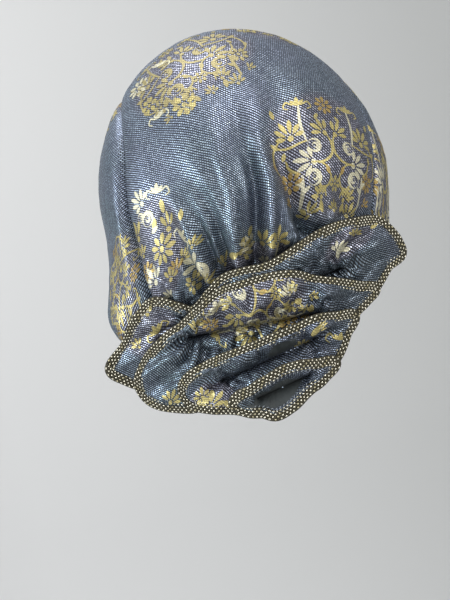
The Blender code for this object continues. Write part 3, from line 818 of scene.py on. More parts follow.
def ruffle_grid(ruffle, sections, rings, seed, crumple):
    """Points round a ruffle and out from its gather line to the trim, with pleats and creases."""
    height, far, crease_height, upper_share = crumple
    angle = round_angles(sections)
    share = np.linspace(0.0, 1.0, rings + 1) ** RING_CLOSER
    cloth = ruffle.reach_inside(angle, TRIM_WIDTH - UNDER_TRIM)
    theta = np.broadcast_to(angle, (rings + 1, sections))
    points = ruffle.points(theta, share[:, None] * cloth)
    length = running_length(points, 0)
    out, _ = ruffle.edge(angle)
    away = share[:, None] * (out * ruffle.half)

    def round_and_out(around, outward):
        return np.stack([theta * ruffle.half / around, away / outward, 0.0 * theta], axis=-1)

    wander = rough(np.stack([theta * 3.0, away / 9.0, 0.0 * theta], axis=-1), 1.0, seed)
    phase = round(PLEATS_PER_MM * ruffle.half) * theta + PLEAT_WANDER * wander
    phase += 1.5 * np.sin(3.0 * theta + seed)
    pleat = np.abs(np.sin(phase)) + 0.45 * np.abs(np.sin(1.7 * phase + 2.0 * wander + seed))
    strength = 0.75 + 0.5 * rough(points, 24.0, seed + 9.0)
    upper = 1.0 - upper_share + upper_share * (0.5 + 0.5 * np.tanh(3.0 * np.sin(theta)))
    lower = 0.55 * (0.5 - 0.5 * np.tanh(3.0 * np.sin(theta)))
    push = height * (upper + lower) * strength * pleat
    push = push * np.exp(-away / far) * smoothstep(away / 3.0)
    crease = 0.6 * creases(round_and_out(*CREASE_SIZES), 1.0, seed + 2.0)
    crease += 0.5 * creases(points * (1.0, 0.6, 1.0), 17.0, seed + 4.0)
    push += (crease_height * (crease - 0.35) * smoothstep(away / 6.0)
             * smoothstep((1.0 - share[:, None]) / 0.22))
    points[..., 1] -= push
    lip = rough(round_and_out(*LIP_SIZES), 1.0, seed + 6.0)
    points[..., 2] += LIP_WAVE * lip * bump((share[:, None] - 0.5) / 0.42)
    foot = ruffle.flat_point(angle, 0.0 * angle)
    rim = points[-1, :, 0] + 1j * points[-1, :, 2]
    heading = (rim - foot) / np.abs(rim - foot)
    return points, pair(foot + heading * length)


# The strip inside the seam: its half width, how far below the groove it lies, and its wall
SEAM_STRIP = 6.0
SEAM_STRIP_DEPTH = 1.6
SEAM_STRIP_WALL = 0.5


def seam_strip_grid():
    """The cloth turned in along the seam, which closes the groove from inside."""
    share = np.linspace(0.0, 1.0, 301)
    middle = seam(share)
    ahead = unit(np.gradient(middle, axis=0))
    side = np.stack([-ahead[:, 1], ahead[:, 0]], axis=-1)
    aside = np.linspace(-SEAM_STRIP, SEAM_STRIP, 7)
    direction = from_map(middle + side * (aside / CROWN_BACK)[:, None, None])
    radius = envelope(direction) - seam_dip(share, 0.0) - groove(share, 0.0)
    points = placed(direction, radius - CLOTH - SEAM_STRIP_DEPTH)
    return points, np.stack([running_length(points, 1), running_length(points, 0)], axis=-1)


def smooth_points(values):
    return 0.25 * (np.roll(values, 1, axis=0) + 2.0 * values + np.roll(values, -1, axis=0))


class Nodes:
    """A material's node tree, with short calls to add and join nodes."""

    def __init__(self, name):
        self.material = bpy.data.materials.new(name)
        self.material.use_nodes = True
        self.tree = self.material.node_tree
        self.shader = self.tree.nodes["Principled BSDF"]

    def feed(self, socket, value):
        """Joins an output to a socket, or sets the socket's own value."""
        if isinstance(value, bpy.types.NodeSocket):
            self.tree.links.new(value, socket)
        else:
            socket.default_value = (*value, 1.0) if socket.type == "RGBA" else value

    def add(self, kind, feeds=(), **settings):
        """A new node. feeds says what its sockets get: (name or number, value or output)."""
        node = self.tree.nodes.new("ShaderNode" + kind)
        for key, value in settings.items():
            setattr(node, key, value)
        for key, value in feeds:
            self.feed(node.inputs[key], value)
        return node

    def math(self, operation, *values, clamp=False):
        return self.add("Math", enumerate(values), operation=operation, use_clamp=clamp).outputs[0]

    def mix(self, share, a, b):
        return self.add("Mix", ((0, share), (6, a), (7, b)), data_type="RGBA").outputs[2]

    def split(self, vector):
        return self.add("SeparateXYZ", ((0, vector),)).outputs

    def noise(self, size):
        """Noise over the object, with features of a size in metres."""
        place = self.add("TexCoord").outputs["Object"]
        return self.add("TexNoise", (("Scale", 1.0 / size), ("Vector", place))).outputs[0]

    def bump(self, height, distance, strength=1.0):
        feeds = ("Distance", distance), ("Strength", strength), ("Height", height)
        self.feed(self.shader.inputs["Normal"], self.add("Bump", feeds).outputs[0])

    def finish(self, colour, roughness, metallic=0.0):
        """The shader's main values, each a number or an output, and the finished material."""
        values = {"Base Color": colour, "Roughness": roughness, "Metallic": metallic}
        for key, value in values.items():
            self.feed(self.shader.inputs[key], value)
        return self.material


# Weave: pitch of the dashes and of the rows, and how far they drift over what length
DASH = 1.9
ROW = 1.75
ROW_DRIFT = 4.0
DRIFT_SIZE = 34.0

# Turn of the rows on each cloth in degrees, and on the crown a swirl with wider
# rows: middle, reach, its own turn, and how much wider
ROW_TURNS = {"crown_cloth": 39.0, "face_band_cloth": 88.0, "nape_cloth": 0.0}
RUFFLE_TURN = 32.0
SWIRL = ((80.0, -55.0), 78.0, 7.0, 0.22)

# Below this height on the flat cloth the gathers draw the rows of the crown together, by this
# share, which grows over this height
GATHERED_BELOW = -88.0
GATHERED_SHARE = 0.45
GATHERED_FADE = 12.0


def thread_places(name, uv):
    """Places along and across the rows of the weave, from places on the flat cloth."""
    flat = uv[..., 0] + 1j * uv[..., 1]
    if name == "crown_cloth":
        place, reach, turn, wider = SWIRL
        drawn = GATHERED_FADE * np.logaddexp(0.0, (GATHERED_BELOW - flat.imag) / GATHERED_FADE)
        middle = complex(*place)
        near = smoothstep(1.25 - np.abs(flat - middle) / reach)
        swirl = np.exp(1j * math.radians(turn) * near)
        flat = middle + (flat - middle) * (1.0 - wider * near) * swirl
        flat = flat - 1j * GATHERED_SHARE * drawn
    flat = flat * np.exp(1j * math.radians(ROW_TURNS.get(name, RUFFLE_TURN)))
    return pair(flat)


# How far from its middle a dash is solid, and where it ends, as shares of its pitch: up, along
DASH_EDGES = ((0.14, 0.31), (0.28, 0.44))


def weave_pattern(nodes):
    """Rows of short dashes: 1 on the yarn and 0 in the gaps, and a random tone of each dash."""
    place = nodes.add("UVMap", uv_map=WEAVE).outputs[0]
    drift = nodes.add("TexNoise", (("Scale", 1.0 / DRIFT_SIZE), ("Detail", 1.0), ("Vector", place)))
    moved = nodes.add("VectorMath", operation="MULTIPLY_ADD", feeds=(
        (0, drift.outputs["Color"]), (1, (ROW_DRIFT, ROW_DRIFT, 0.0)), (2, place)))
    across, up, _ = nodes.split(moved.outputs[0])
    row = nodes.math("DIVIDE", up, ROW)
    row_number = nodes.math("FLOOR", row)
    shift = nodes.math("MULTIPLY", row_number, 0.5)
    column = nodes.math("ADD", nodes.math("DIVIDE", across, DASH), shift)
    yarn = 1.0
    for value, (start, end) in zip((row, column), DASH_EDGES):
        centred = nodes.math("ABSOLUTE", nodes.math("SUBTRACT", nodes.math("FRACT", value), 0.5))
        fall = nodes.add("MapRange", interpolation_type="SMOOTHSTEP", feeds=(
            ("Value", centred), ("From Min", start), ("From Max", end),
            ("To Min", 1.0), ("To Max", 0.0)))
        yarn = nodes.math("MULTIPLY", fall.outputs[0], yarn)
    cell = nodes.add("CombineXYZ", ((0, nodes.math("FLOOR", column)), (1, row_number)))
    tone = nodes.add("TexWhiteNoise", (("Vector", cell.outputs[0]),), noise_dimensions="2D")
    return yarn, tone.outputs["Value"]


# Other tones of the lurex yarn, dark and light: where it faces left and where it faces up, both
# painted sheen, in clouds and round the print, with how strong each is
LEFT_SHEEN_LIGHT, LEFT_SHEEN_SHARE = (0.36, 0.58, 0.64), 0.65
UP_SHEEN_TONES, UP_SHEEN_SHARE = ((0.27, 0.33, 0.48), (0.58, 0.68, 0.92)), 0.55
CLOUD_TONES, CLOUD_SHARE = ((0.26, 0.29, 0.43), (0.54, 0.58, 0.80)), 0.45
PRINT_TONES, PRINT_SHARE = ((0.23, 0.23, 0.31), (0.76, 0.74, 0.87)), 0.65

# Size of the clouds in metres, and where in their noise they start and are full
CLOUD_SIZE = 0.06
CLOUD_EDGES = (0.40, 0.62)

# Ground of the knit round the print and in the patches of painted shade, and behind the foil
PRINT_GROUND = (0.008, 0.005, 0.010)
PAINTED_SHADE_GROUND = (0.040, 0.047, 0.048)
FOIL_GROUND = (0.05, 0.035, 0.02)


def lurex(name, dark, light, ground, metallic):
    """Knit with rows of metallic dashes on a dark ground. Its tone turns with the way it faces, a
    painted sheen, and it is mauve round the gold print and dark and dull in the patches of painted
    shade."""
    nodes = Nodes(name)
    yarn, tone = weave_pattern(nodes)
    shade = nodes.math("POWER", tone, 1.4)
    facing = nodes.split(nodes.add("NewGeometry").outputs["Normal"])
    # Painted sheen: teal where the cloth faces left, lavender where it faces up
    left = nodes.math("MULTIPLY", facing[0], -LEFT_SHEEN_SHARE, clamp=True)
    up = nodes.math("MULTIPLY", facing[2], UP_SHEEN_SHARE, clamp=True)
    cloud = nodes.add("ValToRGB", ((0, nodes.noise(CLOUD_SIZE)),))
    for point, at in zip(cloud.color_ramp.elements, CLOUD_EDGES):
        point.position = at
    cloud = nodes.math("MULTIPLY", cloud.outputs[0], CLOUD_SHARE)
    printed = nodes.add("Attribute", attribute_name="print").outputs["Fac"]
    # Painted shade: where this share is 1 the yarn is left out and the ground turns dark
    painted_shade = nodes.add("Attribute", attribute_name="painted_shade").outputs["Fac"]
    near_print = nodes.math("MULTIPLY", printed, PRINT_SHARE)
    colour = nodes.mix(shade, dark, light)
    for share, low, high in ((left, dark, LEFT_SHEEN_LIGHT), (up, *UP_SHEEN_TONES), (cloud, *CLOUD_TONES),
                             (near_print, *PRINT_TONES)):
        colour = nodes.mix(share, colour, nodes.mix(shade, low, high))
    cover = nodes.math("MULTIPLY", yarn, nodes.math("SUBTRACT", 1.0, painted_shade))
    low = nodes.mix(painted_shade, nodes.mix(printed, ground, PRINT_GROUND), PAINTED_SHADE_GROUND)
    roughness = nodes.math("MULTIPLY_ADD", cover, -0.30, 0.66)
    nodes.bump(cover, 0.00028, 0.8)
    return nodes.finish(nodes.mix(cover, low, colour), roughness,
                        nodes.math("MULTIPLY", cover, metallic))


def foil(name, low, high, roughness):
    """Gold foil printed on the weave, so the gaps of the weave show through it."""
    nodes = Nodes(name)
    yarn, tone = weave_pattern(nodes)
    gold = nodes.mix(nodes.noise(0.03), low, high)
    gold = nodes.mix(nodes.math("MULTIPLY", tone, 0.5), gold, high)
    cover = nodes.math("MULTIPLY_ADD", yarn, 0.45, 0.55)
    nodes.bump(yarn, 0.00016, 0.7)
    return nodes.finish(nodes.mix(cover, FOIL_GROUND, gold), roughness, 0.6)


def plain(name, colour, other, roughness, metallic, grain=0.003):
    """Yarn or beads in one colour that varies a little, with a fine grain of a size in metres."""
    nodes = Nodes(name)
    nodes.bump(nodes.noise(grain), 0.00005)
    return nodes.finish(nodes.mix(nodes.noise(grain * 4.0), colour, other), roughness, metallic)


# Width of one chevron of the braid, from its low to its high
CHEVRON = 0.8


def plaited(name, colour, other):
    """Braid whose yarns lie in chevrons across it."""
    nodes = Nodes(name)
    along, across, _ = nodes.split(nodes.add("UVMap", uv_map=WEAVE).outputs[0])
    slant = nodes.math("ADD", along, nodes.math("ABSOLUTE", across))
    ridge = nodes.math("DIVIDE", nodes.math("PINGPONG", slant, CHEVRON), CHEVRON)
    nodes.bump(ridge, 0.0004)
    return nodes.finish(nodes.mix(ridge, colour, other), 0.55, 0.25)


def paper(name, left, right):
    """Backdrop paper whose colour darkens a little to one side: painted shade where the light falls
    off.
    """
    nodes = Nodes(name)
    side = nodes.split(nodes.add("TexCoord").outputs["Object"])[0]
    share = nodes.add("MapRange", (("Value", side), ("From Min", -0.6), ("From Max", 0.6)))
    return nodes.finish(nodes.mix(share.outputs[0], left, right), 0.9)


def wear(piece, node):
    """The piece rides on the part and may stand for a node, whose solid is then hidden."""
    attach(piece, "root")
    if node:
        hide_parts(node)


def cloth_area(points):
    """Area of a grid of points in square metres."""
    a = points[1:, 1:] - points[:-1, :-1]
    b = points[1:, :-1] - points[:-1, 1:]
    return 0.5 * np.linalg.norm(np.cross(a, b), axis=-1).sum() * MM * MM


def add_shares(piece, name, values):
    """One number for each point of a mesh, for its material to read."""
    layer = piece.data.attributes.new(name, "FLOAT", "POINT")
    layer.data.foreach_set("value", np.asarray(values, np.float32).reshape(-1))


def oval(uv, row):
    """1 inside an oval on the flat cloth and 0 outside, with a soft edge."""
    across, up, half_across, half_up, turn = row
    flat = ((uv[..., 0] - across) + 1j * (uv[..., 1] - up)) * np.exp(-1j * math.radians(turn))
    return smoothstep((1.12 - np.hypot(flat.real / half_across, flat.imag / half_up)) / 0.24)


def make_cloths(right_side, ruffle_side, wrong_side):
    """The sheets of cloth by name, each with its flat places, its area and its flat size."""
    grids = [
        ("crown_cloth", "crown_panel", crown_grid(), False, False),
        ("face_band_cloth", "front_band", band_grid(), False, False),
        ("nape_cloth", "nape_band", nape_grid(), True, False),
        ("seam_strip", None, seam_strip_grid(), False, False),
    ]
    for number, ruffle in enumerate(build_ruffles(), start=1):
        sections, rings = RUFFLE_GRIDS[number - 1]
        grid = ruffle_grid(ruffle, sections, rings, 1.7 * number, CRUMPLES[number - 1])
        grids.append(("ruffle_cloth_%d" % number, ruffle.name, grid, True, True))
    pieces = {}
    for name, node, (points, uv), flip, closed in grids:
        rows, columns = points.shape[:2]
        piece = mesh_object(name, points.reshape(-1, 3), grid_faces(columns, rows, flip, closed),
                            thread_places(name, uv).reshape(-1, 2),
                            (ruffle_side if closed else right_side, wrong_side))
        # print marks the mauve ground round the prints; the second share marks the patches of
        # painted shade
        for share, table in (("print", PRINT_OVALS), ("painted_shade", PAINTED_SHADE_OVALS)):
            ovals = [oval(uv, row) for row in table.get(name, ())]
            add_shares(piece, share, np.max(ovals + [0.0 * uv[..., 0]], axis=0))
        add_wall(piece, CLOTH if node else SEAM_STRIP_WALL)
        wear(piece, node)
        around = np.concatenate([points, points[:, :1]], axis=1) if closed else points
        size = np.ptp(uv.reshape(-1, 2), axis=0)
        if not closed:
            size = np.array((running_length(points, 1).max(), running_length(points, 0).max()))
        pieces[name] = piece, uv.reshape(-1, 2), cloth_area(around), size * MM
    return pieces


# Foil print: how far it stands off the cloth and by how much more where strokes cross, its wall,
# the length of its mesh steps, and the half width from which it has more lanes
PRINT_LIFT = 0.10
PRINT_STAGGER = 0.015
PRINT_WALL = 0.08
PRINT_STEP = 1.1
PRINT_WIDE = 1.3

# Finishes of the foil, in the order of the materials. The last is the gold drawn darker, a painted
# shade
BRIGHT, GOLD, COPPER, SHADED_GOLD = 0, 1, 2, 3


# Mauve ground round the prints by cloth: middle (across, up), half sizes, turn
PRINT_OVALS = {
    "crown_cloth": (
        (77, -58, 54, 52, 0), (-18, 42, 52, 38, 15), (-88, -94, 30, 40, -10),
        (5, -134, 34, 11, 0), (60, 108, 46, 46, 0),
    ),
    "face_band_cloth": (
        (42, -33, 32, 28, 20), (540, -30, 40, 36, 0), (212, -45, 40, 42, 0),
        (325, -40, 42, 42, 0), (435, -45, 40, 42, 0),
    ),
    "ruffle_cloth_1": (
        (-108, -45, 26, 22, 40), (68, -20, 24, 12, 20),
    ),
    "ruffle_cloth_2": (
        (-22, -42, 48, 26, 10),
    ),
    "ruffle_cloth_3": (
        (-72, -112, 20, 14, 10),
    ),
}

# Patches of painted shade, where the cloth is drawn dark and without metallic yarn, as the rows of
# PRINT_OVALS
PAINTED_SHADE_OVALS = {
    "ruffle_cloth_4": (
        (-22, -116, 25, 11, 16),
    ),
    "ruffle_cloth_3": (
        (-8, -78, 13, 7, 20),
    ),
}


class Print:
    """Foil strokes laid on a cloth by its own flat coordinates."""

    def __init__(self, piece, uv):
        mesh = piece.data
        self.points, self.normals = np.empty((2, 3 * len(mesh.vertices)))
        mesh.vertices.foreach_get("co", self.points)
        mesh.vertices.foreach_get("normal", self.normals)
        self.points, self.normals = self.points.reshape(-1, 3) / MM, self.normals.reshape(-1, 3)
        self.uv = uv
        self.corners = [tuple(face.vertices) for face in mesh.polygons]
        self.tree = BVHTree.FromPolygons([(u, v, 0.0) for u, v in uv.tolist()], self.corners)
        self.laid, self.laid_uv, self.faces, self.finishes = [], [], [], []

    def lay(self, place, lift):
        """Number of a new point over a flat place, or None off the cloth."""
        above = Vector((place.real, place.imag, 9.0))
        hit, _, face, _ = self.tree.ray_cast(above, Vector((0.0, 0.0, -1.0)))
        if hit is None:
            return None
        corners = list(self.corners[face])
        shares = poly_3d_calc([Vector((*self.uv[corner], 0.0)) for corner in corners], hit)
        point = shares @ self.points[corners]
        normal = unit(shares @ self.normals[corners])
        self.laid.append(point + normal * lift)
        self.laid_uv.append((place.real, place.imag))
        return len(self.laid) - 1

    def stroke(self, path, half, finish):
        """A band along a path of complex places, with a half width at each."""
        length = lengths(np.abs(np.diff(path)))
        count = max(int(length[-1] / PRINT_STEP) + 2, 4)
        at = np.linspace(0.0, length[-1], count)
        path = np.interp(at, length, path.real) + 1j * np.interp(at, length, path.imag)
        half = np.interp(at, length, half)
        ahead = np.gradient(path)
        side = 1j * ahead / np.maximum(np.abs(ahead), 1e-6)
        lanes = np.linspace(-1.0, 1.0, 5 if half.max() > PRINT_WIDE else 3)
        lift = PRINT_LIFT + PRINT_STAGGER * (len(self.finishes) % 5)
        before = None
        for spot, across in zip(path, side * half):
            now = [self.lay(spot + across * lane, lift) for lane in lanes]
            if before:
                for a, b, c, d in zip(before, before[1:], now[1:], now):
                    if None not in (a, b, c, d):
                        self.faces.append((a, b, c, d))
                        self.finishes.append(finish)
            before = now

    def piece(self, name, materials):
        """Makes the piece from all strokes that lie on the cloth."""
        used, faces = np.unique(self.faces, return_inverse=True)
        threads = thread_places(name, np.array(self.laid_uv)[used])
        printed = mesh_object("foil_" + name, np.array(self.laid)[used], faces.reshape(-1, 4),
                              threads, materials, self.finishes)
        add_wall(printed, PRINT_WALL, 0)
        printed.data.shade_flat()
        wear(printed, None)


def petal(start, tip, half, swell):
    """A leaf shape from its start to its tip: (path, half widths)."""
    t = np.linspace(0.0, 1.0, 9)
    return start + (tip - start) * t, half * np.sin(math.pi * t ** swell) ** 0.7 + 0.08


def disk(centre, radius):
    t = np.linspace(-1.0, 1.0, 9)
    return centre + radius * t, radius * np.sqrt(np.maximum(1.0 - t * t, 0.0)) + 0.05


def stem(places, half):
    """A smooth line through places, thinner at its ends."""
    places = np.array(places)
    knots = lengths(np.abs(np.diff(places)))
    t = np.linspace(0.0, knots[-1], 24)
    rows = curve(knots, pair(places), t)
    return rows[:, 0] + 1j * rows[:, 1], half * (0.55 + 0.45 * np.sin(math.pi * t / knots[-1]))


def ring(centre, radius, half, heading):
    """A ring that is thick on the side it heads to."""
    t = np.linspace(0.0, 2.0 * math.pi, 25)
    path = centre + radius * np.exp(1j * (t + heading))
    return path, half * (0.65 + 0.55 * np.cos(t))


def flower(centre, size, heading, count):
    """Petals round a disk."""
    strokes = [disk(centre, 0.20 * size)]
    for number in range(count):
        way = np.exp(1j * (heading + 2.0 * math.pi * number / count))
        root = centre + 0.30 * size * way
        strokes.append(petal(root, centre + size * way, 1.45 * size / count, 1.2))
    return strokes


def fan(centre, size, heading, count):
    """A palmette: petals spread to one side of a root."""
    strokes = [disk(centre, 0.15 * size)]
    for number in range(count):
        turn = math.radians(32.0) * (number - 0.5 * (count - 1))
        way = np.exp(1j * (heading + turn))
        length = size * (1.0 - 0.12 * abs(number - 0.5 * (count - 1)))
        strokes.append(petal(centre + 0.22 * size * way, centre + length * way, 0.11 * size, 1.3))
    return strokes


# Curled arm of a sprig: places as shares of its size, and their turn
SPRIG_ARM = ((0.0, 0.0), (0.5, 1.3), (0.95, 1.2), (1.15, 1.7), (0.85, 2.0))


def sprig(centre, size, heading):
    """A bud with two leaves and two curled arms."""
    way = np.exp(1j * heading)
    strokes = [petal(centre, centre + 0.8 * size * way, 0.17 * size, 1.2)]
    for side in (-1.0, 1.0):
        aside = way * np.exp(1j * side * math.radians(48.0))
        strokes.append(petal(centre, centre + 0.75 * size * aside, 0.14 * size, 1.2))
        arm = [reach * np.exp(1j * turn * side) for reach, turn in SPRIG_ARM]
        strokes.append(stem([centre + size * way * step for step in arm], 0.075 * size))
    return strokes


def scroll(centre, size, heading):
    """A ring with a small one inside it."""
    way = np.exp(1j * heading)
    return [
        ring(centre, size, 0.25 * size, heading),
        ring(centre + 0.15 * size * way, 0.40 * size, 0.18 * size, -heading),
    ]


def leaf(centre, size, heading):
    return [petal(centre, centre + size * np.exp(1j * heading), 0.24 * size, 0.9)]


# Half of the oval ornament, mirrored about its axis: motif, across, up, heading in degrees, size,
# number of petals where it has some, finish
MEDALLION = (
    (sprig, 23, 40, 95, 9.5, GOLD), (fan, 34, 13, 80, 17, 6, GOLD), (fan, 5, 15, 50, 15, 4, GOLD),
    (scroll, 17, 5, 200, 5, BRIGHT), (fan, 20, -9, 15, 17, 5, BRIGHT),
    (scroll, 21, -21, 150, 5.5, BRIGHT), (flower, 39, -20, 0, 8.5, 8, COPPER),
    (leaf, 45, 6, 30, 7.5, GOLD), (leaf, 43, -3, 110, 6.5, GOLD),
    (leaf, 30, -25, 40, 7.5, BRIGHT), (leaf, 30, -30, 140, 6.5, BRIGHT),
    (fan, 14, -36, 65, 12, 4, GOLD), (fan, 22, -47, 80, 11, 5, GOLD),
    (leaf, 15, -38, 250, 8.5, GOLD), (leaf, 9, -11, 250, 7.5, COPPER),
    (leaf, 12, 27, 130, 6.5, GOLD), (leaf, 44, 30, 80, 7.5, GOLD),
    (leaf, 50, -12, 60, 6.5, COPPER), (fan, 38, -38, 40, 8.5, 3, COPPER),
    (leaf, 3, 20, 80, 5.5, GOLD), (flower, 0, 41, 0, 8.5, 8, COPPER),
    (flower, 0, -25, 90, 6.5, 7, GOLD), (fan, 0, -45, 90, 9, 5, GOLD),
)

# Stems of the half ornament: half width, finish, places (across, up)
MEDALLION_STEMS = (
    (1.15, BRIGHT, ((22, 40), (24, 24), (22, 8))),
    (1.10, GOLD, ((5, 16), (1, 8), (2, -2), (10, -8), (21, -9))),
    (0.95, GOLD, ((48, 8), (43, 6), (35, 6), (22, 9))),
    (0.95, GOLD, ((41, -3), (39, -10), (32, -16))),
    (1.30, BRIGHT, ((31, -17), (30, -28), (29, -41))),
    (0.90, GOLD, ((20, -37), (17, -31), (11, -30), (9, -35))),
    (0.90, GOLD, ((22, -9), (14, -9), (9, -12))),
    (0.90, GOLD, ((42, 14), (50, 3), (51, -11), (44, -18))),
    (0.90, GOLD, ((9, -12), (5, -20), (9, -27), (18, -28))),
)

# Whole ornaments by cloth: place on the flat cloth (across, up), turn, scale, least finish
MEDALLIONS = {
    "crown_cloth": (
        # The second ornament here is drawn in the darkened gold, a painted shade
        (77, -58, 0, 1.0, BRIGHT), (-20, 40, 20, 0.92, SHADED_GOLD), (60, 108, -15, 0.85, BRIGHT),
    ),
    "face_band_cloth": (
        (42, -33, 25, 0.62, GOLD), (540, -30, 80, 0.85, BRIGHT), (212, -45, 10, 0.8, BRIGHT),
        (325, -40, 0, 0.85, BRIGHT), (435, -45, -10, 0.8, BRIGHT),
    ),
    "ruffle_cloth_2": (
        (-20, -40, 100, 0.86, BRIGHT),
    ),
}

# Single motifs by cloth, as the rows of MEDALLION, placed on the flat cloth
SPRAYS = {
    "crown_cloth": (
        (flower, -62, 50, 20, 11, 9, BRIGHT), (sprig, -41, 57, 60, 10, BRIGHT),
        (flower, -29, -1, 20, 10, 7, GOLD), (flower, -57, 21, 0, 8, 6, GOLD),
        (sprig, -52, 4, 80, 9, BRIGHT), (leaf, -84, -70, 250, 10, GOLD),
        (fan, -106, -92, 100, 11, 4, GOLD), (flower, -104, -106, 30, 8.5, 8, COPPER),
        (fan, -80, -122, 70, 11, 4, GOLD), (fan, -66, -112, 40, 10, 4, GOLD),
        (leaf, -58, -84, 80, 8.5, GOLD), (fan, -50, -106, 60, 9, 4, GOLD),
        (flower, -60, -134, 30, 8.5, 8, GOLD), (fan, -86, -136, 110, 10, 4, BRIGHT),
        (fan, -91, -54, 118, 14.5, 6, BRIGHT), (sprig, -73, -54, 75, 10, BRIGHT),
        (scroll, -98, -63, 0, 3.5, BRIGHT), (scroll, -91, -68, 60, 5.5, BRIGHT),
        (leaf, -72, -60, 255, 11, GOLD), (fan, -74, -84, 80, 14.5, 3, GOLD),
        (fan, -108, -76, 110, 17, 4, GOLD), (leaf, -90, -80, 20, 8, BRIGHT),
        (flower, -82, -96, 0, 12.5, 9, GOLD), (sprig, -62, -97, 40, 10, BRIGHT),
        (fan, -96, -118, 120, 17, 5, BRIGHT), (fan, -52, -124, 125, 18, 4, BRIGHT),
        (fan, -72, -118, 90, 11, 4, COPPER), (leaf, -48, -118, 300, 15.5, BRIGHT),
        (fan, -45, -136, 40, 10, 4, GOLD), (fan, -9, -124, 10, 14, 5, GOLD),
        (fan, 2, -122, 160, 13, 5, BRIGHT), (leaf, 1, -106, 250, 8, GOLD),
        (fan, 11, -122, 60, 12, 4, GOLD), (leaf, -20, -126, 20, 10, GOLD),
        (fan, -26, -130, 120, 11, 4, GOLD), (fan, 24, -127, 80, 15, 5, GOLD),
        (leaf, 23, -128, 270, 9, BRIGHT), (fan, 13, -141, 90, 9, 4, BRIGHT),
    ),
    "ruffle_cloth_1": (
        (fan, 73, -17, 60, 9, 5, GOLD), (leaf, 88, -14, 30, 8, GOLD),
        (fan, 58, -28, 60, 13, 5, BRIGHT), (leaf, 66, -24, 200, 10, BRIGHT),
        (fan, -104, -33, 100, 12, 5, GOLD), (sprig, -100, -52, 120, 9, GOLD),
        (fan, -118, -60, 120, 10, 4, GOLD),
    ),
    "ruffle_cloth_2": (
        (sprig, 78, -58, 60, 7, GOLD), (fan, 12, -38, 90, 10, 5, BRIGHT),
        (fan, -20, -66, 80, 14, 5, GOLD), (sprig, -46, -36, 100, 10, BRIGHT),
        (fan, -68, -44, 60, 11, 5, GOLD), (flower, -2, -62, 0, 9, 8, GOLD),
        (fan, -36, -68, 70, 11, 5, BRIGHT), (fan, 30, -52, 60, 10, 4, GOLD),
        (leaf, 22, -60, 30, 9, GOLD), (fan, -104, -112, 70, 13, 5, GOLD),
        (leaf, -96, -104, 60, 9, GOLD),
    ),
    "ruffle_cloth_3": (
        (fan, -74, -120, 60, 17, 6, GOLD), (flower, -78, -108, 0, 8, 8, GOLD),
        (leaf, -62, -117, 330, 10, GOLD), (fan, 7, -86, 70, 11, 5, GOLD),
        (leaf, 20, -69, 10, 13, GOLD), (fan, 30, -70, 20, 9, 4, GOLD),
        (sprig, 40, -92, 60, 9, GOLD),
    ),
}


def medallion():
    """Strokes of the oval ornament, mirrored about its axis: (path, half widths, finish)."""
    strokes = []
    for kind, across, up, heading, size, *count, finish in MEDALLION:
        for side in (1.0, -1.0) if across else (1.0,):
            turn = math.radians(heading if side > 0 else 180.0 - heading)
            motif = kind(side * across + 1j * up, size, turn, *count)
            strokes += [(path, half, finish) for path, half in motif]
    for half, finish, places in MEDALLION_STEMS:
        for side in (1.0, -1.0):
            line = stem([side * across + 1j * up for across, up in places], half)
            strokes.append((*line, finish))
    return strokes


def make_prints(cloths, materials):
    """The gold print, one piece on each cloth that carries some."""
    ornament = medallion()
    for name, (cloth, uv, _, _) in cloths.items():
        printing = Print(cloth, uv)
        for across, up, turn, size, dull in MEDALLIONS.get(name, ()):
            move = size * np.exp(1j * math.radians(turn))
            for path, half, finish in ornament:
                printing.stroke(across + 1j * up + move * path, size * half, max(finish, dull))
        for kind, across, up, heading, size, *count, finish in SPRAYS.get(name, ()):
            for path, half in kind(across + 1j * up, size, math.radians(heading), *count):
                printing.stroke(path, half, finish)
        if printing.faces:
            printing.piece(name, materials)


# Beads of the trim: half size, its shares along, across and off the braid, the share of a dark one,
# their distance along a row, how far they stand up, and places of the rows across the braid
BEAD = 0.84
BEAD_SHAPE = (1.12, 1.0, 0.8)
DARK_BEAD = 0.8
BEAD_LIFT = 0.2
BEAD_STEP = 1.7
BEAD_ROWS = (-2.85, -0.95, 0.95, 2.85)
BRAID_SIDES = 12
BRAID_STATIONS = 420
BRAID_WIDTH = 8.2
BRAID_THICKNESS = 2.0
BRAID_FACING = 0.7

# Sewing thread: half sizes of a stitch along, across and off the cloth, the stitches' distance,
# and how far they stand off the cloth
STITCH = (1.15, 0.30, 0.22)
STITCH_STEP = 3.2
STITCH_LIFT = 0.12


def bead_shape():
    """A small ball of six sides, its points and its faces."""
    points = [(0.0, 0.0, 1.0)]
    for level in (0.5, -0.5):
        for side in range(6):
            turn = math.pi * (side / 3.0 + (level < 0) / 6.0)
            points.append((0.87 * math.cos(turn), 0.87 * math.sin(turn), level))
    points.append((0.0, 0.0, -1.0))
    faces = []
    for side in range(6):
        after = (side + 1) % 6
        faces.append((0, 1 + side, 1 + after))
        faces.append((1 + side, 7 + side, 1 + after))
        faces.append((1 + after, 7 + side, 7 + after))
        faces.append((13, 7 + after, 7 + side))
    return np.array(points), np.array(faces)


def along_path(path, values, step):
    """Values read at equal steps along a path of points."""
    length = running_length(path[:, None], 0)[:, 0]
    count = max(int(length[-1] / step), 2)
    at = np.minimum((np.arange(count) + 0.5) * length[-1] / count, length[-1])
    return [np.stack([np.interp(at, length, axis) for axis in value.T], axis=1) for value in values]


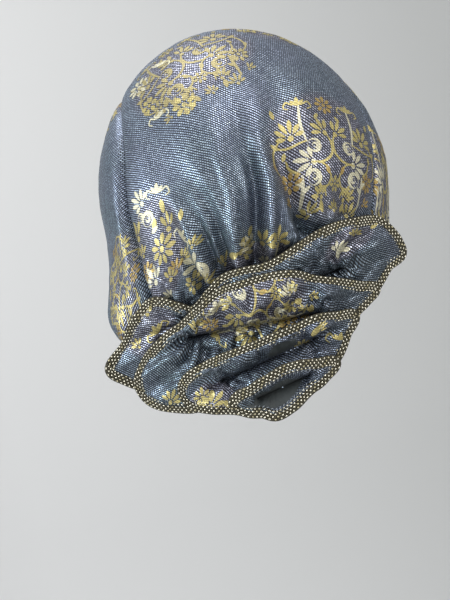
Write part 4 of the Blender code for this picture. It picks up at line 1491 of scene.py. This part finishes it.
def scatter(name, centres, frames, sizes, materials, kinds):
    """Many beads or stitches in one mesh. frames are three unit vectors for each of them."""
    shape, shape_faces = bead_shape()
    local = shape * sizes[:, None, :]
    points = centres[:, None] + np.einsum("nki,nij->nkj", local, frames)
    faces = np.arange(len(centres))[:, None, None] * len(shape) + shape_faces
    piece = mesh_object(name, points.reshape(-1, 3), faces.reshape(-1, 3), None, materials,
                        np.repeat(kinds, len(shape_faces)))
    wear(piece, None)


def frames_along(path, normals):
    """Unit vectors along a path, across it and off the cloth."""
    ahead = unit(np.gradient(path, axis=0))
    across = unit(np.cross(normals, ahead))
    return np.stack([ahead, across, unit(np.cross(ahead, across))], axis=1)


def make_stitches(name, path, normals, slant, thread):
    """A row of stitches along a path of points."""
    centres, off = along_path(path, (path, normals), STITCH_STEP)
    frames = frames_along(centres, off)
    turned = unit(frames[:, 0] + slant * frames[:, 1])
    frames = np.stack([turned, unit(np.cross(frames[:, 2], turned)), frames[:, 2]], axis=1)
    scatter(name, centres + off * STITCH_LIFT, frames, np.broadcast_to(STITCH, centres.shape),
            (thread,), np.zeros(len(centres), int))


def braid_frame(ruffle, angle):
    """The middle of the braid, outward and off the cloth, turned a little to face backwards."""
    middle, outward, normal = ruffle.edge_frame(angle)
    for _ in range(4):
        outward, normal = unit(smooth_points(outward)), unit(smooth_points(normal))
    along = along_loop(middle)
    facing = normal + np.array((0.0, -BRAID_FACING, 0.0))
    facing = unit(facing - along * (facing * along).sum(axis=-1, keepdims=True))
    aside = unit(np.cross(along, facing))
    aside = aside * np.where((aside * outward).sum(axis=-1) < 0.0, -1.0, 1.0)[:, None]
    return middle - normal * 0.5 * RUFFLE_WALL, aside, facing


def make_trim_pieces(ruffle, number, braid, beads, thread):
    """The braid round a ruffle's edge, with rows of light and dark beads on both its faces."""
    middle, outward, normal = braid_frame(ruffle, round_angles(BRAID_STATIONS))
    turn = 2.0 * math.pi * np.arange(BRAID_SIDES) / BRAID_SIDES
    wide = 0.5 * BRAID_WIDTH * np.cos(turn)
    thick = 0.5 * BRAID_THICKNESS * np.sin(turn)
    points = middle[:, None] + outward[:, None] * wide[:, None] + normal[:, None] * thick[:, None]
    faces = grid_faces(BRAID_SIDES, BRAID_STATIONS, False, closed=True)
    last = grid_faces(BRAID_SIDES, 2, False, closed=True)
    last = np.where(last < BRAID_SIDES, last + len(faces), last - BRAID_SIDES)
    along = running_length(middle[:, None], 0)
    uv = np.stack(np.broadcast_arrays(along, wide[None]), axis=-1)
    tube = mesh_object("braid_%d" % number, points.reshape(-1, 3), np.concatenate([faces, last]),
                       uv.reshape(-1, 2), (braid,))
    wear(tube, "trim_%d" % number)
    loop, aside, off = (np.concatenate([row, row[:1]]) for row in (middle, outward, normal))
    centres, frames, kinds = [], [], []
    for row, across in enumerate(BEAD_ROWS):
        place, side, up = along_path(loop, (loop, aside, off), BEAD_STEP)
        axes = np.stack([unit(np.cross(side, up)), unit(side), unit(up)], axis=1)
        round_off = math.sqrt(1.0 - (2.0 * across / BRAID_WIDTH) ** 2)
        lift = 0.5 * BRAID_THICKNESS * round_off + BEAD_LIFT
        for face in (1.0, -1.0):
            centres.append(place + side * across + up * face * lift)
            frames.append(axes)
            order = np.arange(len(place)) + row
            kinds.append(np.where(order % 2 == 0, np.where((order * 7) % 5 == 0, 1, 0), 2))
    centres, frames, kinds = np.concatenate(centres), np.concatenate(frames), np.concatenate(kinds)
    sizes = BEAD * np.where(kinds == 2, DARK_BEAD, 1.0)[:, None] * np.array(BEAD_SHAPE)
    scatter("beads_%d" % number, centres, frames, sizes, beads, kinds)
    inner = loop - aside * (0.5 * BRAID_WIDTH + 0.5) + off * 0.35
    make_stitches("overlock_%d" % number, inner, off, 0.9, thread)


# Backdrop in metres: height of the floor, place of the wall, and the curve between them
FLOOR = -1.3
WALL = 2.4
CURVE = 0.8


def area_light(name, place, target, size, power, colour):
    light = bpy.data.lights.new(name, "AREA")
    light.shape = "DISK"
    light.size = size
    light.energy = power
    light.color = colour
    lamp = bpy.data.objects.new(name, light)
    lamp.location = place
    lamp.rotation_euler = (Vector(target) - Vector(place)).to_track_quat("-Z", "Y").to_euler()
    bpy.context.scene.collection.objects.link(lamp)


# Soft lights: name, place, what it faces, size, power, colour
LIGHTS = (
    ("key", (0.5, -1.1, 1.3), (0.0, 0.0, 0.05), 1.1, 16.0, (1.0, 0.99, 0.99)),
    ("top", (-0.1, 0.1, 1.5), (0.0, 0.0, 0.05), 1.0, 17.0, (0.97, 0.98, 1.0)),
    ("left", (-1.5, -0.5, 0.3), (0.0, 0.0, 0.0), 0.9, 21.0, (0.92, 0.97, 1.0)),
    ("right", (1.3, -1.0, 0.1), (0.0, 0.0, -0.02), 0.7, 9.0, (1.0, 0.99, 0.97)),
    ("wall", (-0.6, 0.9, 1.4), (-0.5, WALL, 0.2), 1.2, 12.0, (1.0, 1.0, 1.0)),
    ("front", (-0.3, -2.1, -0.4), (0.0, 0.0, 0.0), 1.2, 14.0, (1.0, 1.0, 1.0)),
)

# Light from all round: colour and strength
SKY = (0.86, 0.88, 0.88, 1.0)
SKY_POWER = 0.32


def make_studio():
    """Camera, soft lights and a pale floor that curves up into a backdrop."""
    scene = bpy.context.scene
    camera = bpy.data.objects.new("camera", bpy.data.cameras.new("camera"))
    camera.data.lens = CAMERA_LENS
    camera.data.sensor_fit = "VERTICAL"
    camera.data.sensor_height = 36.0
    camera.data.dof.use_dof = False
    camera.data.clip_start = 0.05
    cosine, sine = math.cos(CAMERA_ROLL), math.sin(CAMERA_ROLL)
    frame_axes = Matrix(((cosine, sine, 0.0), (0.0, 0.0, -1.0), (-sine, cosine, 0.0)))
    camera.matrix_world = Matrix.Translation(CAMERA_PLACE) @ frame_axes.to_4x4()
    scene.collection.objects.link(camera)
    scene.camera = camera
    for row in LIGHTS:
        area_light(*row)
    world = bpy.data.worlds.new("studio")
    world.use_nodes = True
    for socket, value in zip(world.node_tree.nodes["Background"].inputs, (SKY, SKY_POWER)):
        socket.default_value = value
    scene.world = world
    scene.view_settings.view_transform = "Standard"
    bend = [(WALL - CURVE * (1.0 - math.sin(t)), FLOOR + CURVE * (1.0 - math.cos(t)))
            for t in np.linspace(0.1, 0.5 * math.pi, 12)]
    profile = [(-4.0, FLOOR), (WALL - CURVE, FLOOR), *bend, (WALL, 3.0)]
    points = [(x / MM, y / MM, z / MM) for y, z in profile for x in (-3.5, 3.5)]
    # Painted shade on the backdrop: its colour is lighter at the left and darker at the right
    backdrop = mesh_object("backdrop", points, grid_faces(2, len(profile), False), None,
                           (paper("backdrop_paper_painted_shade", (0.74, 0.74, 0.74), (0.55, 0.555, 0.55)),))


# Hem of the head opening: height of its stitches on the band and on the nape band
BAND_HEM = 0.86
NAPE_HEM = 0.84

# Distance of the stitches beside the right part of the seam from it
SEAM_ROW = 4.6


def make_seams(thread):
    """Rows of stitches at the hem of the head opening and beside the right part of the seam."""
    share = np.linspace(0.01, 0.99, 400)
    for name, surface, height in (("hem_stitches_band", band_surface, BAND_HEM),
                                  ("hem_stitches_nape", nape_surface, NAPE_HEM)):
        path = surface(share, np.full(share.shape, height))
        make_stitches(name, path, unit(path - CROWN_CENTRE), 0.0, thread)
    points, _ = crown_grid()
    along = running_length(points, 1)
    path = np.array([[np.interp(length[-1] - SEAM_ROW, length, row[:, axis]) for axis in range(3)]
                     for row, length in zip(points[8:-6], along[8:-6])])
    make_stitches("seam_stitches", path, unit(path - CROWN_CENTRE), 0.5, thread)


# Knit of the right side, ruffles and wrong side: name, yarn dark and light, ground, metallic
LUREX = (
    ("lurex_right_side", (0.26, 0.34, 0.44), (0.58, 0.71, 0.83), (0.004, 0.006, 0.011), 0.75),
    ("lurex_ruffle", (0.16, 0.22, 0.28), (0.44, 0.53, 0.62), (0.004, 0.006, 0.010), 0.8),
    ("lurex_wrong_side", (0.05, 0.065, 0.075), (0.12, 0.15, 0.16), (0.012, 0.016, 0.018), 0.4),
)

# Foil in the order of the finishes: name, low and high colour, roughness. The last is the gold drawn
# darker, a painted shade, and rougher
FOILS = (
    ("foil_bright", (0.72, 0.68, 0.44), (0.88, 0.85, 0.66), 0.48),
    ("foil_gold", (0.50, 0.42, 0.14), (0.74, 0.64, 0.28), 0.42),
    ("foil_copper", (0.42, 0.28, 0.08), (0.62, 0.46, 0.17), 0.44),
    ("foil_shaded_gold", (0.36, 0.31, 0.14), (0.54, 0.47, 0.24), 0.55),
)

# Beads, two light ones and a dark one: name, two colours, roughness, metallic
BEADS = (
    ("bead_champagne", (0.60, 0.56, 0.43), (0.80, 0.77, 0.66), 0.24, 0.85),
    ("bead_straw", (0.42, 0.38, 0.24), (0.60, 0.55, 0.38), 0.28, 0.8),
    ("bead_bronze", (0.040, 0.036, 0.024), (0.09, 0.08, 0.05), 0.35, 0.5),
)


def main():
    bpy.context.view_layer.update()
    cloths = make_cloths(*(lurex(*row) for row in LUREX))
    make_prints(cloths, [foil(*row) for row in FOILS])
    braid = plaited("braid_yarn", (0.018, 0.016, 0.010), (0.085, 0.075, 0.042))
    beads = [plain(*row) for row in BEADS]
    thread = plain("thread_silver", (0.30, 0.33, 0.36), (0.48, 0.51, 0.54), 0.5, 0.3, 0.001)
    for number, ruffle in enumerate(build_ruffles(), start=1):
        make_trim_pieces(ruffle, number, braid, beads, thread)
    make_seams(thread)
    make_studio()


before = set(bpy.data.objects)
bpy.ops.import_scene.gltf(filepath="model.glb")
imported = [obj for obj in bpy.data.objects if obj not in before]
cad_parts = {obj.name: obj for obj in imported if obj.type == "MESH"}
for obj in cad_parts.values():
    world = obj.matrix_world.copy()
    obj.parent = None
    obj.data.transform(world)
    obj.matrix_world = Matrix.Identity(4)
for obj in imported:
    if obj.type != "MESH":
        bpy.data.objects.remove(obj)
main()
